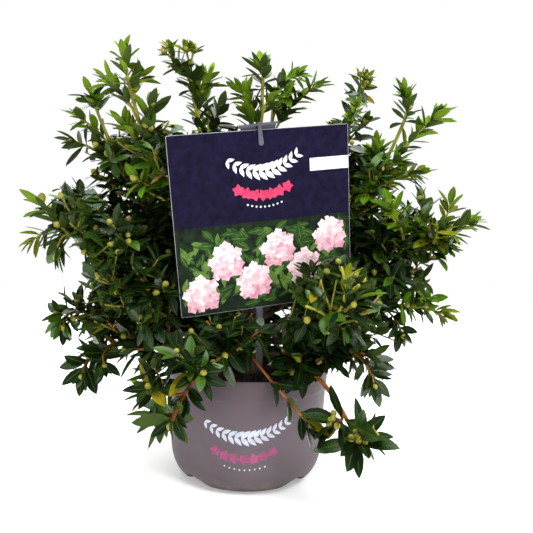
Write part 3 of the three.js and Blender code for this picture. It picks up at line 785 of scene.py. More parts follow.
UPRIGHT_LOOKS = ("fresh", "bright", "olive", "fresh", "bronze")
HANGING_RINGS = ("hanging", "drape")
LOW_RINGS = ("skirt", "hanging", "front", "drape")
HIGH_RINGS = ("middle", "shoulder", "top")
PLAIN_LIMBS = ("cheek_2",)
LEAF_ROWS = {tone: [] for tone in LEAF_TONES}
TWIGS = []
BUDS = []


def side_heading(along, turn, lean):
    across = unit(vec(-along[1], along[0], 1e-6))
    over = np.cross(along, across)
    spread = across * math.cos(turn) + over * math.sin(turn)
    return unit(along * math.cos(lean) + spread * math.sin(lean) + UP * TWIG_RISE)


def along_line(line, share):
    """The point at a share of a line's steps, and the line's direction there."""
    place = min(share, 0.9999) * (len(line) - 1)
    before = int(place)
    step = line[before + 1] - line[before]
    return line[before] + step * (place - before), unit(step)


class Grower:
    """Grows twigs, leaves and buds on one limb, in the room that it has."""

    def __init__(self, limb, seed, shaped=False):
        self.limb, self.shaped = limb, shaped
        self.rng = random.Random(seed)
        self.low = limb.ring in LOW_RINGS
        self.size = LOW_LEAF if self.low else 1.0
        self.lowest = limb.lowest

    def clear(self, points):
        points = np.asarray(points)
        if (points[:, 2] < self.lowest).any():
            return False
        if self.shaped and (crown_share(points) > 1).any():
            return False
        return has_room(points)

    def angle(self, degrees):
        return math.radians(self.rng.uniform(*degrees))

    def leaf(self, foot, along, turn, spread, length, tone):
        """One leaf on a twig: it leans away from the twig and turns its face to the light."""
        rng = self.rng
        across = unit(np.cross(ASIDE, along))
        over = np.cross(along, across)
        away = across * math.cos(turn) + over * math.sin(turn)
        sag = UP * rng.uniform(*LEAF_SAG)
        ahead = unit(along * math.cos(spread) + away * math.sin(spread) - sag)
        face = along + UP * rng.uniform(*LEAF_RAISE)
        upper = face - ahead * face.dot(ahead)
        roll = rng.gauss(0, LEAF_ROLL)
        width = length * rng.uniform(*(YOUNG_WIDTH if tone in PALE_TONES else LEAF_WIDTH))
        if self.low:
            width *= LOW_WIDTH
        fold = rng.uniform(*LEAF_FOLD)
        curl = rng.uniform(*LEAF_CURL)
        if np.linalg.norm(upper) < 0.15:
            return
        upper = unit(upper)
        upper = upper * math.cos(roll) + np.cross(upper, ahead) * math.sin(roll)
        side = np.cross(upper, ahead)
        probes = [foot + ahead * length * s for s in (0.35, 0.7, 1)]
        probes += [foot + ahead * length * 0.55 + side * width * s for s in (-0.5, 0.5)]
        if self.clear(probes):
            LEAF_ROWS[tone].append((foot, ahead, upper, (length, width, fold, curl)))

    def rosette(self, tip, along, count, tone, size=1.0, step=1.6, spread=ROSETTE_SPREAD):
        """Leaves round the end of a twig, the inner ones shorter and more upright."""
        rng = self.rng
        phase = rng.uniform(0, FULL_TURN)
        inside = self.shaped and crown_share(np.array([tip]))[0] < SHADE_SHARE
        painted_shade_below = PAINTED_SHADE_BELOW.get(self.limb.ring, PAINTED_SHADE_BELOW_ELSEWHERE)
        for i in range(count):
            share = i / (count - 1)
            length = rng.uniform(*LEAF_LENGTH) * size * self.size * lerp(*ROSETTE_GROWTH, share)
            lean = lerp(*spread, share) + rng.uniform(-ROSETTE_JITTER, ROSETTE_JITTER)
            chance = rng.random()
            kind = tone
            if tone in ("dark", "mid"):
                if chance < OLD_BELOW:
                    kind = "old"
                elif chance < BRONZE_BELOW:
                    kind = "bronze"
                elif chance < OTHER_BELOW and not self.low:
                    kind = "mid" if tone == "dark" else "dark"
                # painted shade: many leaves of the low rings, and a few others, take the
                # near-black tone
                elif chance < painted_shade_below:
                    kind = "painted_shade"
            # painted shade for the leaves inside the crown's body
            if inside and rng.random() < SHADE_CHANCE:
                kind = "painted_shade"
            foot = tip - along * step * i
            self.leaf(foot, along, phase + GOLDEN_ANGLE * i, math.radians(lean), length, kind)

    def bud(self, tip, along):
        radius = self.rng.uniform(*BUD_RADIUS)
        middle = tip + along * (radius + self.rng.uniform(*BUD_GAP))
        tan = self.rng.random() < BUD_TAN_CHANCE
        if self.clear([middle]):
            BUDS.append((middle, along, radius, tan))

    def tip(self, line, along, tone, size=1.0):
        """The rosette at a twig's end, and often a bud in it."""
        self.rosette(line[-1], along, self.rng.randint(*ROSETTE_LEAVES), tone, size)
        if self.rng.random() < BUD_CHANCE:
            self.bud(line[-1], along)

    def line(self, foot, heading, length, rise, steps):
        points, heading = [foot], np.array(heading)
        for _ in range(steps):
            drift = [self.rng.gauss(0, TWIG_DRIFT) for _ in range(2)]
            heading = unit(heading + vec(*drift, rise / steps))
            points.append(points[-1] + heading * length / steps)
        return np.array(points), heading

    def tone(self, height, outward):
        """A spray's tone: fresher towards the top and the outside of the crown."""
        high = max(0, (height - FRESH_FROM) / FRESH_RISE)
        fresh, mid = FRESH_CHANCE + FRESH_HIGH * high + FRESH_OUT * outward, MID_CHANCE
        if self.low or self.limb.name in PLAIN_LIMBS:
            fresh, mid = 0, LOW_MID_CHANCE
        chance = self.rng.random()
        if chance < fresh:
            return self.rng.choice(["fresh", "fresh", "mid", "olive"])
        return "mid" if chance < fresh + mid else "dark"

    def spray(self, foot, heading, length, outward):
        """A side twig with its twiglets, rosettes and buds."""
        rng = self.rng
        for part in TWIG_PARTS:
            line, end = self.line(foot, heading, length * part, 0.35, 4)
            if self.clear(line[1:]):
                break
        else:
            return
        tone = self.tone(line[-1][2], outward)
        TWIGS.append((line, TWIG_RADII, "old" if self.low else "inner"))
        self.tip(line, end, tone)
        phase = rng.uniform(0, FULL_TURN)
        for i in range(SIDE_TWIGS):
            share = lerp(*SIDE_PLACES, (i + rng.random() * 0.7) / SIDE_TWIGS)
            start, along = along_line(line, share)
            branch = side_heading(along, phase + GOLDEN_ANGLE * i, self.angle(SIDE_LEAN))
            twig, end = self.line(start, branch, rng.uniform(*SIDE_LENGTH), 0.3, 3)
            if not self.clear(twig[1:]):
                continue
            small = tone if rng.random() < SAME_TONE_CHANCE else self.tone(twig[-1][2], outward)
            TWIGS.append((twig, SIDE_RADII, "young" if small in PALE_TONES else "inner"))
            self.tip(twig, end, small, SIDE_LEAVES)

    def sprays(self):
        """All the side twigs of the limb, and the rosette at its end."""
        rng, limb = self.rng, self.limb
        count = TWIG_COUNTS[limb.ring]
        start = TWIG_FROM.get(limb.ring, TWIG_FROM_ELSEWHERE)
        for i in range(count):
            share = (i + 0.6 * rng.random()) / count
            u = lerp(start, TWIG_TO, share)
            lean = self.angle(TWIG_LEAN)
            heading = side_heading(limb.heading(u), GOLDEN_ANGLE * i + rng.random(), lean)
            length = TWIG_LENGTH * lerp(*TWIG_LENGTHS, share) * rng.uniform(*TWIG_JITTER)
            self.spray(limb.point(u), heading, length, 0.0 if self.low else share)
        if not count:
            return
        tone = self.tone(limb.tip[2], 0.0 if self.low else 1.0)
        # painted shade: a plain limb's end rosette takes the near-black tone
        if limb.name in PLAIN_LIMBS:
            tone = "painted_shade"
        self.shaped = False
        self.rosette(limb.tip, limb.heading(1), TIP_LEAVES, tone)
        self.bud(limb.tip, limb.heading(1))

    def leader(self, u, reached, look):
        """A shoot that leaves its limb and reaches a given point with its uppermost leaves."""
        rng, limb = self.rng, self.limb
        foot = limb.point(u)
        reached = np.array(reached, float)
        self.lowest = min(self.lowest, reached[2] - LEADER_HANG)
        span = np.linalg.norm(reached - foot)
        out = TRAILING_BEND if look == "trailing" else LEADER_BEND
        bend = foot + limb.heading(u) * span * out
        end = lerp(foot, reached, 1 - min(0.45, LEAF_OVER_TIP / span))
        line = arch(foot, bend, end, np.linspace(0, 1, 7)[:, None])
        along = unit(line[-1] - line[-2])
        young = look in YOUNG_LOOKS
        pale = young or look in ("twiggy", "tipped")
        TWIGS.append((line, LEADER_RADII, "young" if pale else "old" if self.low else "inner"))
        tone = LEADER_TONES.get(look, look)
        if look in OPEN_SIZES:
            self.rosette(end, along, TIP_LEAVES, tone, OPEN_SIZES[look], 1.2, (24, 88))
            if look == "open":
                self.bud_cluster(end, along)
            else:
                self.bud(end, along)
            return
        bare = BARE_SHARES.get(look, BARE_YOUNG if young else BARE_ELSEWHERE)
        slim = young and look != "bronze"
        long = YOUNG_LENGTH if slim else LEAF_LENGTH
        whorls = max(2, int(span * (1 - bare) / (YOUNG_STEP if slim else WHORL_STEP)))
        phase = rng.uniform(0, FULL_TURN)
        for w in range(whorls):
            start, way = along_line(line, lerp(bare, WHORL_LAST, w / whorls))
            kind = tone if w or not young else "mid"
            # painted shade: some whorls of older shoots are made near black, more often low down
            if not young and rng.random() < (LOW_WHORL_PAINTED_SHADE if self.low else WHORL_PAINTED_SHADE):
                kind = "painted_shade"
            for i in range(rng.randint(*WHORL_LEAVES)):
                length = rng.uniform(*long) * self.size
                angle = self.angle(YOUNG_SPREAD if young else LEAF_SPREAD)
                foot = start + way * rng.uniform(-3, 3)
                mixed = kind
                if look in LOOK_MIXES and rng.random() < MIX_CHANCE:
                    mixed = rng.choice(LOOK_MIXES[look])
                self.leaf(foot, way, phase + GOLDEN_ANGLE * i + w, angle, length, mixed)
        if look == "bronze":
            self.tuft(end, along)
            return
        if look in ("budded", "twiggy"):
            self.bud_cluster(end, along)
        last = "olive" if look == "tipped" else tone
        self.rosette(end, along, 8, last, sum(long) / sum(LEAF_LENGTH), 1.8, (10, 52))
        if not young:
            self.bud(end, along)

    def bud_cluster(self, end, along):
        """Buds crowded round the end of a twig."""
        for i in range(CLUSTER_BUDS):
            heading = side_heading(along, GOLDEN_ANGLE * i, math.radians(12 * i))
            self.bud(end + heading * 3, heading)

    def tuft(self, end, along):
        """A cluster of opening bud leaves over a whorl of older ones."""
        self.rosette(end, along, 6, "dark", 0.95, 2.4, (44, 78))
        for i in range(TUFT_TWIGS):
            heading = side_heading(along, GOLDEN_ANGLE * i, self.angle(TUFT_LEAN))
            twig, tip = self.line(end, heading, self.rng.uniform(*TUFT_LENGTH), 0.2, 2)
            TWIGS.append((twig, TUFT_RADII, "young"))
            self.bud(twig[-1], tip)
            for small in ("bronze", "olive"):
                self.rosette(twig[-1], tip, 3, small, 0.6, 0.8, (14, 52))

    def uprights(self):
        """Young upright shoots at the end of a limb of the upper crown."""
        rng, limb = self.rng, self.limb
        for u in UPRIGHT_PLACES:
            foot = limb.point(u)
            aside = vec(rng.gauss(0, 0.3), rng.gauss(0, 0.3), 0)
            heading = unit(limb.heading(u) + UP * 1.1 + aside)
            top = BOX_HIGH[2] - 10 - rng.uniform(0, 40)
            reach = min(rng.uniform(*UPRIGHT_REACH), (top - foot[2]) / max(heading[2], 0.3))
            look = rng.choice(UPRIGHT_LOOKS)
            if reach > UPRIGHT_SHORTEST:
                self.leader(u, foot + heading * reach, look)


# Leaves, twigs and buds as joined pieces

LEAF_STATIONS = np.array([0.0, 0.10, 0.30, 0.52, 0.74, 0.90])
LEAF_SPREADS = np.array([0.10, 0.22, 0.80, 1.0, 0.82, 0.42])
RIB_HALF = np.array([0.46, 0.42, 0.36, 0.29, 0.20, 0.12])
RIB_LEAF = 30  # the leaf length that these half-widths of the midrib belong to
UNDER_DEPTH = 0.45
UNDER_GAP = 0.02
PIECE_LEAVES = 2800
FINE_FROM = HUB + 0.1  # where the fine stem of a limb takes over from its bough
TWIG_SLOTS = {"old": "bark", "inner": "bark", "young": "foliage"}


def leaf_faces():
    """Triangles of one leaf and their finishes: 0 blade, 1 midrib, 2 underside."""
    rows = len(LEAF_STATIONS)
    faces, finishes = [], []
    tip = 4 * rows
    for c, finish in ((0, 0), (1, 1), (2, 0)):
        for r in range(rows - 1):
            a, b = 4 * r + c, 4 * (r + 1) + c
            faces += [(a, b, b + 1), (a, b + 1, a + 1)]
            finishes += [finish, finish]
        last = 4 * (rows - 1) + c
        faces.append((last, tip, last + 1))
        finishes.append(finish)
    base = tip + 1
    tip = base + 3 * rows
    for c in (0, 1):
        for r in range(rows - 1):
            a, b = base + 3 * r + c, base + 3 * (r + 1) + c
            faces += [(a, b + 1, b), (a, a + 1, b + 1)]
            finishes += [2, 2]
        last = base + 3 * (rows - 1) + c
        faces.append((last, last + 1, tip))
        finishes.append(2)
    return np.array(faces), np.array(finishes)


def leaf_corners(rows):
    """Corners of all these leaves: four a station on top and three below, and both tips."""
    feet = np.array([r[0] for r in rows])
    ahead = np.array([r[1] for r in rows])
    upper = np.array([r[2] for r in rows])
    side = np.cross(upper, ahead)
    length, width, fold, curl = np.array([r[3] for r in rows]).T[..., None]
    half = width / 2 * LEAF_SPREADS
    rib = np.minimum(RIB_HALF * length / RIB_LEAF, half * 0.9)
    drop = -curl * length * LEAF_STATIONS**2
    lift = drop + half * fold
    x = length * LEAF_STATIONS
    tip_drop = -curl * length
    leaves = len(rows)

    def columns(*parts):
        return np.stack(parts, 2).reshape(leaves, -1)

    across = np.concatenate([
        columns(half, rib, -rib, -half), 0 * length,
        columns(half, 0 * half, -half), 0 * length,
    ], 1)
    raised = np.concatenate([
        columns(lift, drop, drop, lift), tip_drop,
        columns(lift - UNDER_GAP, drop - UNDER_DEPTH, lift - UNDER_GAP), tip_drop - UNDER_GAP,
    ], 1)
    along = np.concatenate([np.repeat(x, 4, 1), length, np.repeat(x, 3, 1), length], 1)
    return (
        feet[:, None]
        + along[..., None] * ahead[:, None]
        + across[..., None] * side[:, None]
        + raised[..., None] * upper[:, None]
    )


def make_leaves(mass_nodes):
    faces, finishes = leaf_faces()
    first = True
    for tone, rows in LEAF_ROWS.items():
        pale = tone in PALE_TONES
        materials = [
            LEAF[tone],
            LEAF["young_rib" if pale else "rib"],
            LEAF["under_young" if pale else "under"],
        ]
        for start in range(0, len(rows), PIECE_LEAVES):
            some = rows[start:start + PIECE_LEAVES]
            bundle = Bundle()
            corners = leaf_corners(some)
            per_leaf = corners.shape[1]
            offsets = np.arange(len(some))[:, None, None] * per_leaf
            bundle.add(
                corners.reshape(-1, 3),
                (faces + offsets).reshape(-1, 3),
                np.tile(finishes, len(some)),
            )
            name = f"leaves_{tone}_{start // PIECE_LEAVES + 1}"
            bundle.make(name, materials, "foliage", mass_nodes if first else ())
            first = False


def make_twigs(limbs):
    bundles = {kind: Bundle() for kind in TWIG_SLOTS}
    for limb in limbs:
        shares = np.linspace(FINE_FROM, 1, 12)
        line = [limb.point(u) for u in shares]
        radii = [limb.radius(u) * (1 + 0.07 * math.sin(40 * u + limb.seed)) for u in shares]
        bundles["old" if limb.ring in LOW_RINGS else "inner"].add(*tube(line, radii, 8))
    for line, (thick, thin), kind in TWIGS:
        fine = np.linspace(0, len(line) - 1, 2 * len(line) - 1)
        points = [lerp(line[int(f)], line[min(int(f) + 1, len(line) - 1)], f % 1) for f in fine]
        radii = np.linspace(thick, thin, len(points))
        radii = radii * (1 + 0.10 * np.sin(np.arange(len(points)) * 2.4))
        bundles[kind].add(*tube(points, radii, 6))
    for kind, slot in TWIG_SLOTS.items():
        bundles[kind].make("twigs_" + kind, [STEM["twig_" + kind]], slot)


def make_buds():
    """Round buds wrapped in pointed scales."""
    rings, sides = 9, 12
    polar = np.linspace(0.06, math.pi - 0.02, rings)
    turn = around(sides)
    bundle = Bundle()
    faces = grid_faces(rings, sides, True)
    for middle, along, radius, tan in BUDS:
        across = unit(np.cross(along, ASIDE))
        over = np.cross(along, across)
        spiral = turn[None, :] + polar[:, None] * 1.3
        scale = 1 + 0.055 * np.cos(4 * spiral) * np.sin(polar)[:, None]
        point = 1 + 0.22 * np.exp(-((polar / 0.42) ** 2))[:, None]
        reach = radius * np.sin(polar)[:, None] * scale
        lift = radius * np.cos(polar)[:, None] * point
        corners = (
            middle
            + (reach * np.cos(turn))[..., None] * across
            + (reach * np.sin(turn))[..., None] * over
            + (lift * np.ones(sides))[..., None] * along
        )
        bundle.add(corners.reshape(-1, 3), faces, 1 if tan else 0)
    bundle.make("buds", [STEM["bud"], STEM["bud_tan"]], "foliage")


# Main stem and boughs with the bark's relief

BARK_SCALE = 0.22
TRUNK_RELIEF = 0.13  # of the radius
BOUGH_RELIEF = 0.16
TRUNK_STUB = (0.2, 0.2, 3.5)
TRUNK_STUB_RADIUS = 4.2
BARK_TO = HUB + 0.11  # along a limb


def bark_relief(point, scale, strength):
    ridge = abs(noise.noise(Vector((point[0] * scale, point[1] * scale, point[2] * scale * 0.3))))
    fine = noise.noise(Vector(point * scale * 3.1))
    return strength * (1.2 * ridge - 0.4 + 0.35 * fine)


def barked_tube(points, radii, sides, strength):
    """A tube whose skin has fissured bark, worked out on its own smooth surface."""
    points = np.asarray(points)
    _, across, over = carried_frames(points)
    turn = around(sides)
    grown = np.zeros((len(points), sides))
    for r, middle in enumerate(points):
        for c, angle in enumerate(turn):
            way = across[r] * math.cos(angle) + over[r] * math.sin(angle)
            skin = middle + way * radii[r]
            grown[r, c] = radii[r] + bark_relief(skin, BARK_SCALE, strength * radii[r])
    return tube(points, grown, sides)


def make_wood(limbs):
    bundle = Bundle()
    shares = np.linspace(0, 1, 64)
    trunk = [trunk_point(s) for s in shares]
    radii = np.interp(shares, TRUNK_HEIGHTS, TRUNK_RADII)
    trunk.append(trunk[-1] + vec(*TRUNK_STUB))
    bundle.add(*barked_tube(trunk, np.append(radii, TRUNK_STUB_RADIUS), 36, TRUNK_RELIEF))
    for limb in limbs:
        places = np.linspace(0, BARK_TO, 30)
        line = [limb.point(u) for u in places]
        thick = [limb.radius(u) for u in places]
        bundle.add(*barked_tube(line, thick, 12, BOUGH_RELIEF))
    nodes = ["main_stem"] + [f"bough_{limb.name}" for limb in limbs]
    bundle.make("main_stem_and_boughs", [BARK], "bark", nodes)


# Pot and compost


def notch_height(radius, angle):
    """How far the drainage notches lift the pot's underside at a place."""
    best = 0
    for i in range(NOTCH_COUNT):
        bearing = math.radians(NOTCH_FIRST_BEARING + 360 * i / NOTCH_COUNT)
        turn = (angle - bearing + math.pi) % FULL_TURN - math.pi
        if abs(turn) > 1:
            continue
        aside = radius * math.sin(turn)
        if abs(aside) < NOTCH_RADIUS:
            best = max(best, NOTCH_RISE - NOTCH_RADIUS + math.sqrt(NOTCH_RADIUS**2 - aside**2))
    return best


def rounded_corner(a, control, b, steps):
    a, control, b = vec(*a), vec(*control), vec(*b)
    return [tuple(arch(a, control, b, s)) for s in np.linspace(0, 1, steps + 1)]


def pot_profile():
    """The pot's turned outline, from the middle of its underside round to its inside floor."""
    wall, rim, lip = POT_WALL_RADIUS, POT_RIM_RADIUS, POT_LIP_ROUND
    inner, inner_rim = wall - POT_WALL, rim - POT_WALL
    band_foot = POT_HEIGHT - POT_BAND_HEIGHT
    band_low = band_foot - POT_BAND_SLOPE
    under_band, step = rim - 2 * POT_BAND_STEP, rim - POT_BAND_STEP
    top, floor = POT_HEIGHT, POT_BASE_THICKNESS
    inner_round = POT_ROUND_HEIGHT + POT_WALL
    underside = [(0, 0), (NOTCH_INNER / 2, 0)]
    underside += [(NOTCH_INNER - 0.2, 0), (NOTCH_INNER + 0.2, 0)]
    underside += [(lerp(NOTCH_INNER, POT_BASE_RADIUS, s), 0) for s in (0.25, 0.5, 0.75)]
    underside += rounded_corner((POT_BASE_RADIUS, 0), (wall, 0), (wall, POT_ROUND_HEIGHT), 26)
    side = [(lerp(wall, under_band, s), lerp(POT_ROUND_HEIGHT, band_low, s))
            for s in (0.2, 0.4, 0.6, 0.8, 0.97, 1)]
    side += [(step - 0.15, band_foot - 0.3), (step, band_foot)]
    side += [(lerp(step, rim, s), lerp(band_foot, top - lip, s)) for s in (0.05, 0.5, 0.97)]
    side += rounded_corner((rim, top - lip), (rim, top), (rim - lip, top), 4)
    inside = rounded_corner((inner_rim + 0.8, top), (inner_rim, top), (inner_rim, top - lip), 4)
    inside += [(lerp(inner_rim, inner, s), lerp(top - lip, inner_round, s))
               for s in (0.1, 0.2, 0.5, 1)]
    inside += rounded_corner((inner, inner_round), (inner, floor), (POT_BASE_RADIUS, floor), 6)
    return underside, side + inside + [(0, floor)]


def make_pot():
    underside, rest = pot_profile()
    turn = around(POT_SEGMENTS)
    corners = []
    for row, (radius, height) in enumerate(underside + rest):
        for angle in turn:
            lifted = height
            if row < len(underside) and radius > NOTCH_INNER:
                lifted = max(height, notch_height(radius, angle))
            corners.append((radius * math.cos(angle), radius * math.sin(angle), lifted))
    bundle = Bundle()
    bundle.add(corners, grid_faces(len(underside) + len(rest), POT_SEGMENTS, True))
    pot = bundle.make("pot_shell", [POT], "pot_plastic", ["pot"])
    pot.data.set_sharp_from_angle(angle=math.radians(38))


def soil_drop(radius):
    """How far the compost falls towards the pot's rim."""
    return SOIL_EDGE_DROP * max(0, (radius - SOIL_FLAT_RADIUS) / SOIL_EDGE)


def make_soil():
    rings, sides = 56, 150
    radii = np.linspace(0.5, SOIL_RADIUS, rings)
    turn = around(sides)
    corners = []
    for radius in radii:
        level = SOIL_TOP - soil_drop(radius)
        for angle in turn:
            x, y = radius * math.cos(angle), radius * math.sin(angle)
            lump = noise.fractal(Vector((x * 0.09, y * 0.09, 3.1)), 0.8, 2.1, 4)
            grit = noise.noise(Vector((x * 0.55, y * 0.55, 7.7)))
            corners.append((x, y, level + 0.9 * lump + 0.7 * grit - SOIL_SINK))
    bundle = Bundle()
    bundle.add(corners, grid_faces(rings, sides, True))
    rng = random.Random(CHIP_SEED)
    chip = np.array([(-1, -1, 0), (1, -0.8, 0), (0.8, 1, 0), (-0.9, 0.9, 0),
                     (-0.6, -0.5, 1), (0.7, -0.6, 0.9), (0.5, 0.6, 1), (-0.5, 0.6, 0.8)], float)
    faces = quads_to_triangles([(3, 2, 1, 0), (4, 5, 6, 7), (0, 1, 5, 4),
                                (1, 2, 6, 5), (2, 3, 7, 6), (3, 0, 4, 7)])
    for _ in range(CHIP_COUNT):
        radius, angle = 18 + 68 * math.sqrt(rng.random()), rng.uniform(0, FULL_TURN)
        size = vec(rng.uniform(1.2, 4.2), rng.uniform(0.7, 1.8), rng.uniform(0.5, 1.4))
        spin = rng.uniform(0, FULL_TURN)
        flat = chip * size + np.array([[rng.gauss(0, 0.2) for _ in range(3)] for _ in range(8)])
        x = flat[:, 0] * math.cos(spin) - flat[:, 1] * math.sin(spin)
        y = flat[:, 0] * math.sin(spin) + flat[:, 1] * math.cos(spin)
        level = SOIL_TOP - soil_drop(radius) - SOIL_SINK
        place = vec(radius * math.cos(angle), radius * math.sin(angle), level)
        bundle.add(np.stack([x, y, flat[:, 2]], 1) + place, faces, 1)
    soil = bundle.make("compost", [SOIL, STEM["compost_chip"]], "compost", ["soil"])
    soil.data.set_sharp_from_angle(angle=math.radians(50))


# Label card and the prints

CARD_INKS = ("card_white", "card_navy", "card_ground", "card_edge")
CARD_ROUND = 2
CARD_ROUND_INSIDE = 1.6
CARD_INSET = 0.35
CARD_LAYER = 0.05  # between the card and the colours on its face
STRIP_LONG, STRIP_LOW, STRIP_HIGH = 43, 45, 32
PRINT_INKS = (
    "card_leaf", "card_leaf_pale", "card_vein", "card_white_pink", "card_pale_pink", "card_pink",
    "card_heart", "card_white", "card_rose",
)
GARLAND_INKS = ("card_white", "card_rose")
CARD_GARLAND = (36, 18, 13)  # half its width, how far it is raised, droop
POT_GARLAND = (44, 84, 14)  # half its width, height of its ends, droop
PETAL_SLIM = 0.42
GARLAND_STEP = 6.5
GARLAND_LEAF = 12
GARLAND_BLOSSOMS = 7
GARLAND_DROP = 24
GARLAND_DOTS = 9
DOT_SIZE = 2.2
PRINT_SEED = 31
POT_PRINT_LIFT = 0.15
PRINT_LIFT = 0.07  # of the print's first layer over the card's face
PRINT_STEP = 0.0006  # between one layer of it and the next
PRINT_LEAVES = 260
PRINT_TRUSSES = 6
TRUSS_RADIUS = 17
TRUSS_BLOSSOMS = 21


def in_card(points):
    matrix = np.array(CARD_FRAME)
    return placed(matrix, np.asarray(points, float))


def card_outline(left, right, low, high, round_low, round_high, steps=5):
    """Corners of a rectangle of the card, round where asked, as x and z."""
    corners = []
    for x, z, inward, start, radius in (
        (right, high, (-1, -1), 0, round_high),
        (left, high, (1, -1), 90, round_high),
        (left, low, (1, 1), 180, round_low),
        (right, low, (-1, 1), 270, round_low),
    ):
        if radius == 0:
            corners.append((x, z))
            continue
        for i in range(steps + 1):
            angle = math.radians(start + 90 * i / steps)
            corners.append((
                x + radius * (inward[0] + math.cos(angle)),
                z + radius * (inward[1] + math.sin(angle)),
            ))
    return corners


def fan(corners, depth, facing):
    """Triangles over a flat convex outline of the card at a depth."""
    points = [(x, depth, z) for x, z in corners]
    middle = np.mean(points, axis=0)
    count = len(points)
    faces = []
    for i in range(count):
        j = (i + 1) % count
        faces.append((count, i, j) if facing < 0 else (count, j, i))
    return in_card(points + [tuple(middle)]), faces


def petal(middle, turn, length, width, steps=8):
    """A rounded petal or leaf as x and z, from its foot outward."""
    shape = []
    for i in range(2 * steps):
        share = i / steps if i <= steps else 2 - i / steps
        side = 1 if i <= steps else -1
        along = length * share
        across = side * width / 2 * math.sin(math.pi * share**0.8)
        shape.append((
            middle[0] + along * math.cos(turn) - across * math.sin(turn),
            middle[1] + along * math.sin(turn) + across * math.cos(turn),
        ))
    return shape


def garland(half, high, droop):
    """Swags of paired leaves, blossoms and dots: outlines as x and z, 0 pale, 1 rose."""
    shapes = []

    def hung(x, top):
        return x, top - droop * (1 - (x / half) ** 2)

    count = int(2 * half / GARLAND_STEP)
    for i in range(count + 1):
        x = lerp(-half, half, i / count)
        slope = math.atan2(2 * droop * x, half**2)
        length = GARLAND_LEAF * (1.1 - 0.4 * abs(x) / half)
        for turn in (slope - 0.75, slope + 0.75):
            shapes.append((petal(hung(x, high), turn, length, PETAL_SLIM * length), 0))
    for i in range(GARLAND_BLOSSOMS):
        x = lerp(-0.72, 0.72, i / (GARLAND_BLOSSOMS - 1)) * half
        middle = hung(x, high - GARLAND_DROP)
        for k in range(5):
            turn = FULL_TURN * (k + 0.25) / 5 + i
            shapes.append((petal(middle, turn, 0.55 * GARLAND_LEAF, PETAL_SLIM * GARLAND_LEAF), 1))
    for i in range(GARLAND_DOTS):
        x = lerp(-0.5, 0.5, i / (GARLAND_DOTS - 1)) * half
        middle = hung(x, high - GARLAND_DROP - GARLAND_LEAF)
        shapes.append((petal(middle, 0, DOT_SIZE, DOT_SIZE), 0))
    return shapes


def make_card():
    left, right = -CARD_WIDTH / 2, CARD_WIDTH / 2
    high = CARD_ABOVE_PEG
    low = CARD_ABOVE_PEG - CARD_HEIGHT
    split = (high + low) / 2
    front = -CARD_THICKNESS / 2
    core = Bundle()
    outline = card_outline(left, right, low, high, CARD_ROUND, CARD_ROUND)
    count = len(outline)
    rim = [(x, front, z) for x, z in outline] + [(x, -front, z) for x, z in outline]
    sides = [(i, i + count, (i + 1) % count + count, (i + 1) % count) for i in range(count)]
    white, navy, ground, edge = range(len(CARD_INKS))
    core.add(in_card(rim), quads_to_triangles(sides), edge)
    core.add(*fan(outline, -front, 1), navy)
    core.add(*fan(outline, front, -1), edge)
    near, far = left + CARD_INSET, right - CARD_INSET
    upper = card_outline(near, far, split, high - CARD_INSET, 0, CARD_ROUND_INSIDE)
    core.add(*fan(upper, front - CARD_LAYER, -1), navy)
    lower = card_outline(near, far, low + CARD_INSET, split, CARD_ROUND_INSIDE, 0)
    core.add(*fan(lower, front - CARD_LAYER, -1), ground)
    strip = card_outline(right - STRIP_LONG, far, high - STRIP_LOW, high - STRIP_HIGH, 0, 0)
    core.add(*fan(strip, front - 2 * CARD_LAYER, -1), white)
    inks = [INK[name] for name in CARD_INKS]
    core.make("label_card_body", inks, "label_card", ["label_card"], smooth=False)
    make_card_print(left + 1, right - 1, low + 1, split - 0.5, front)


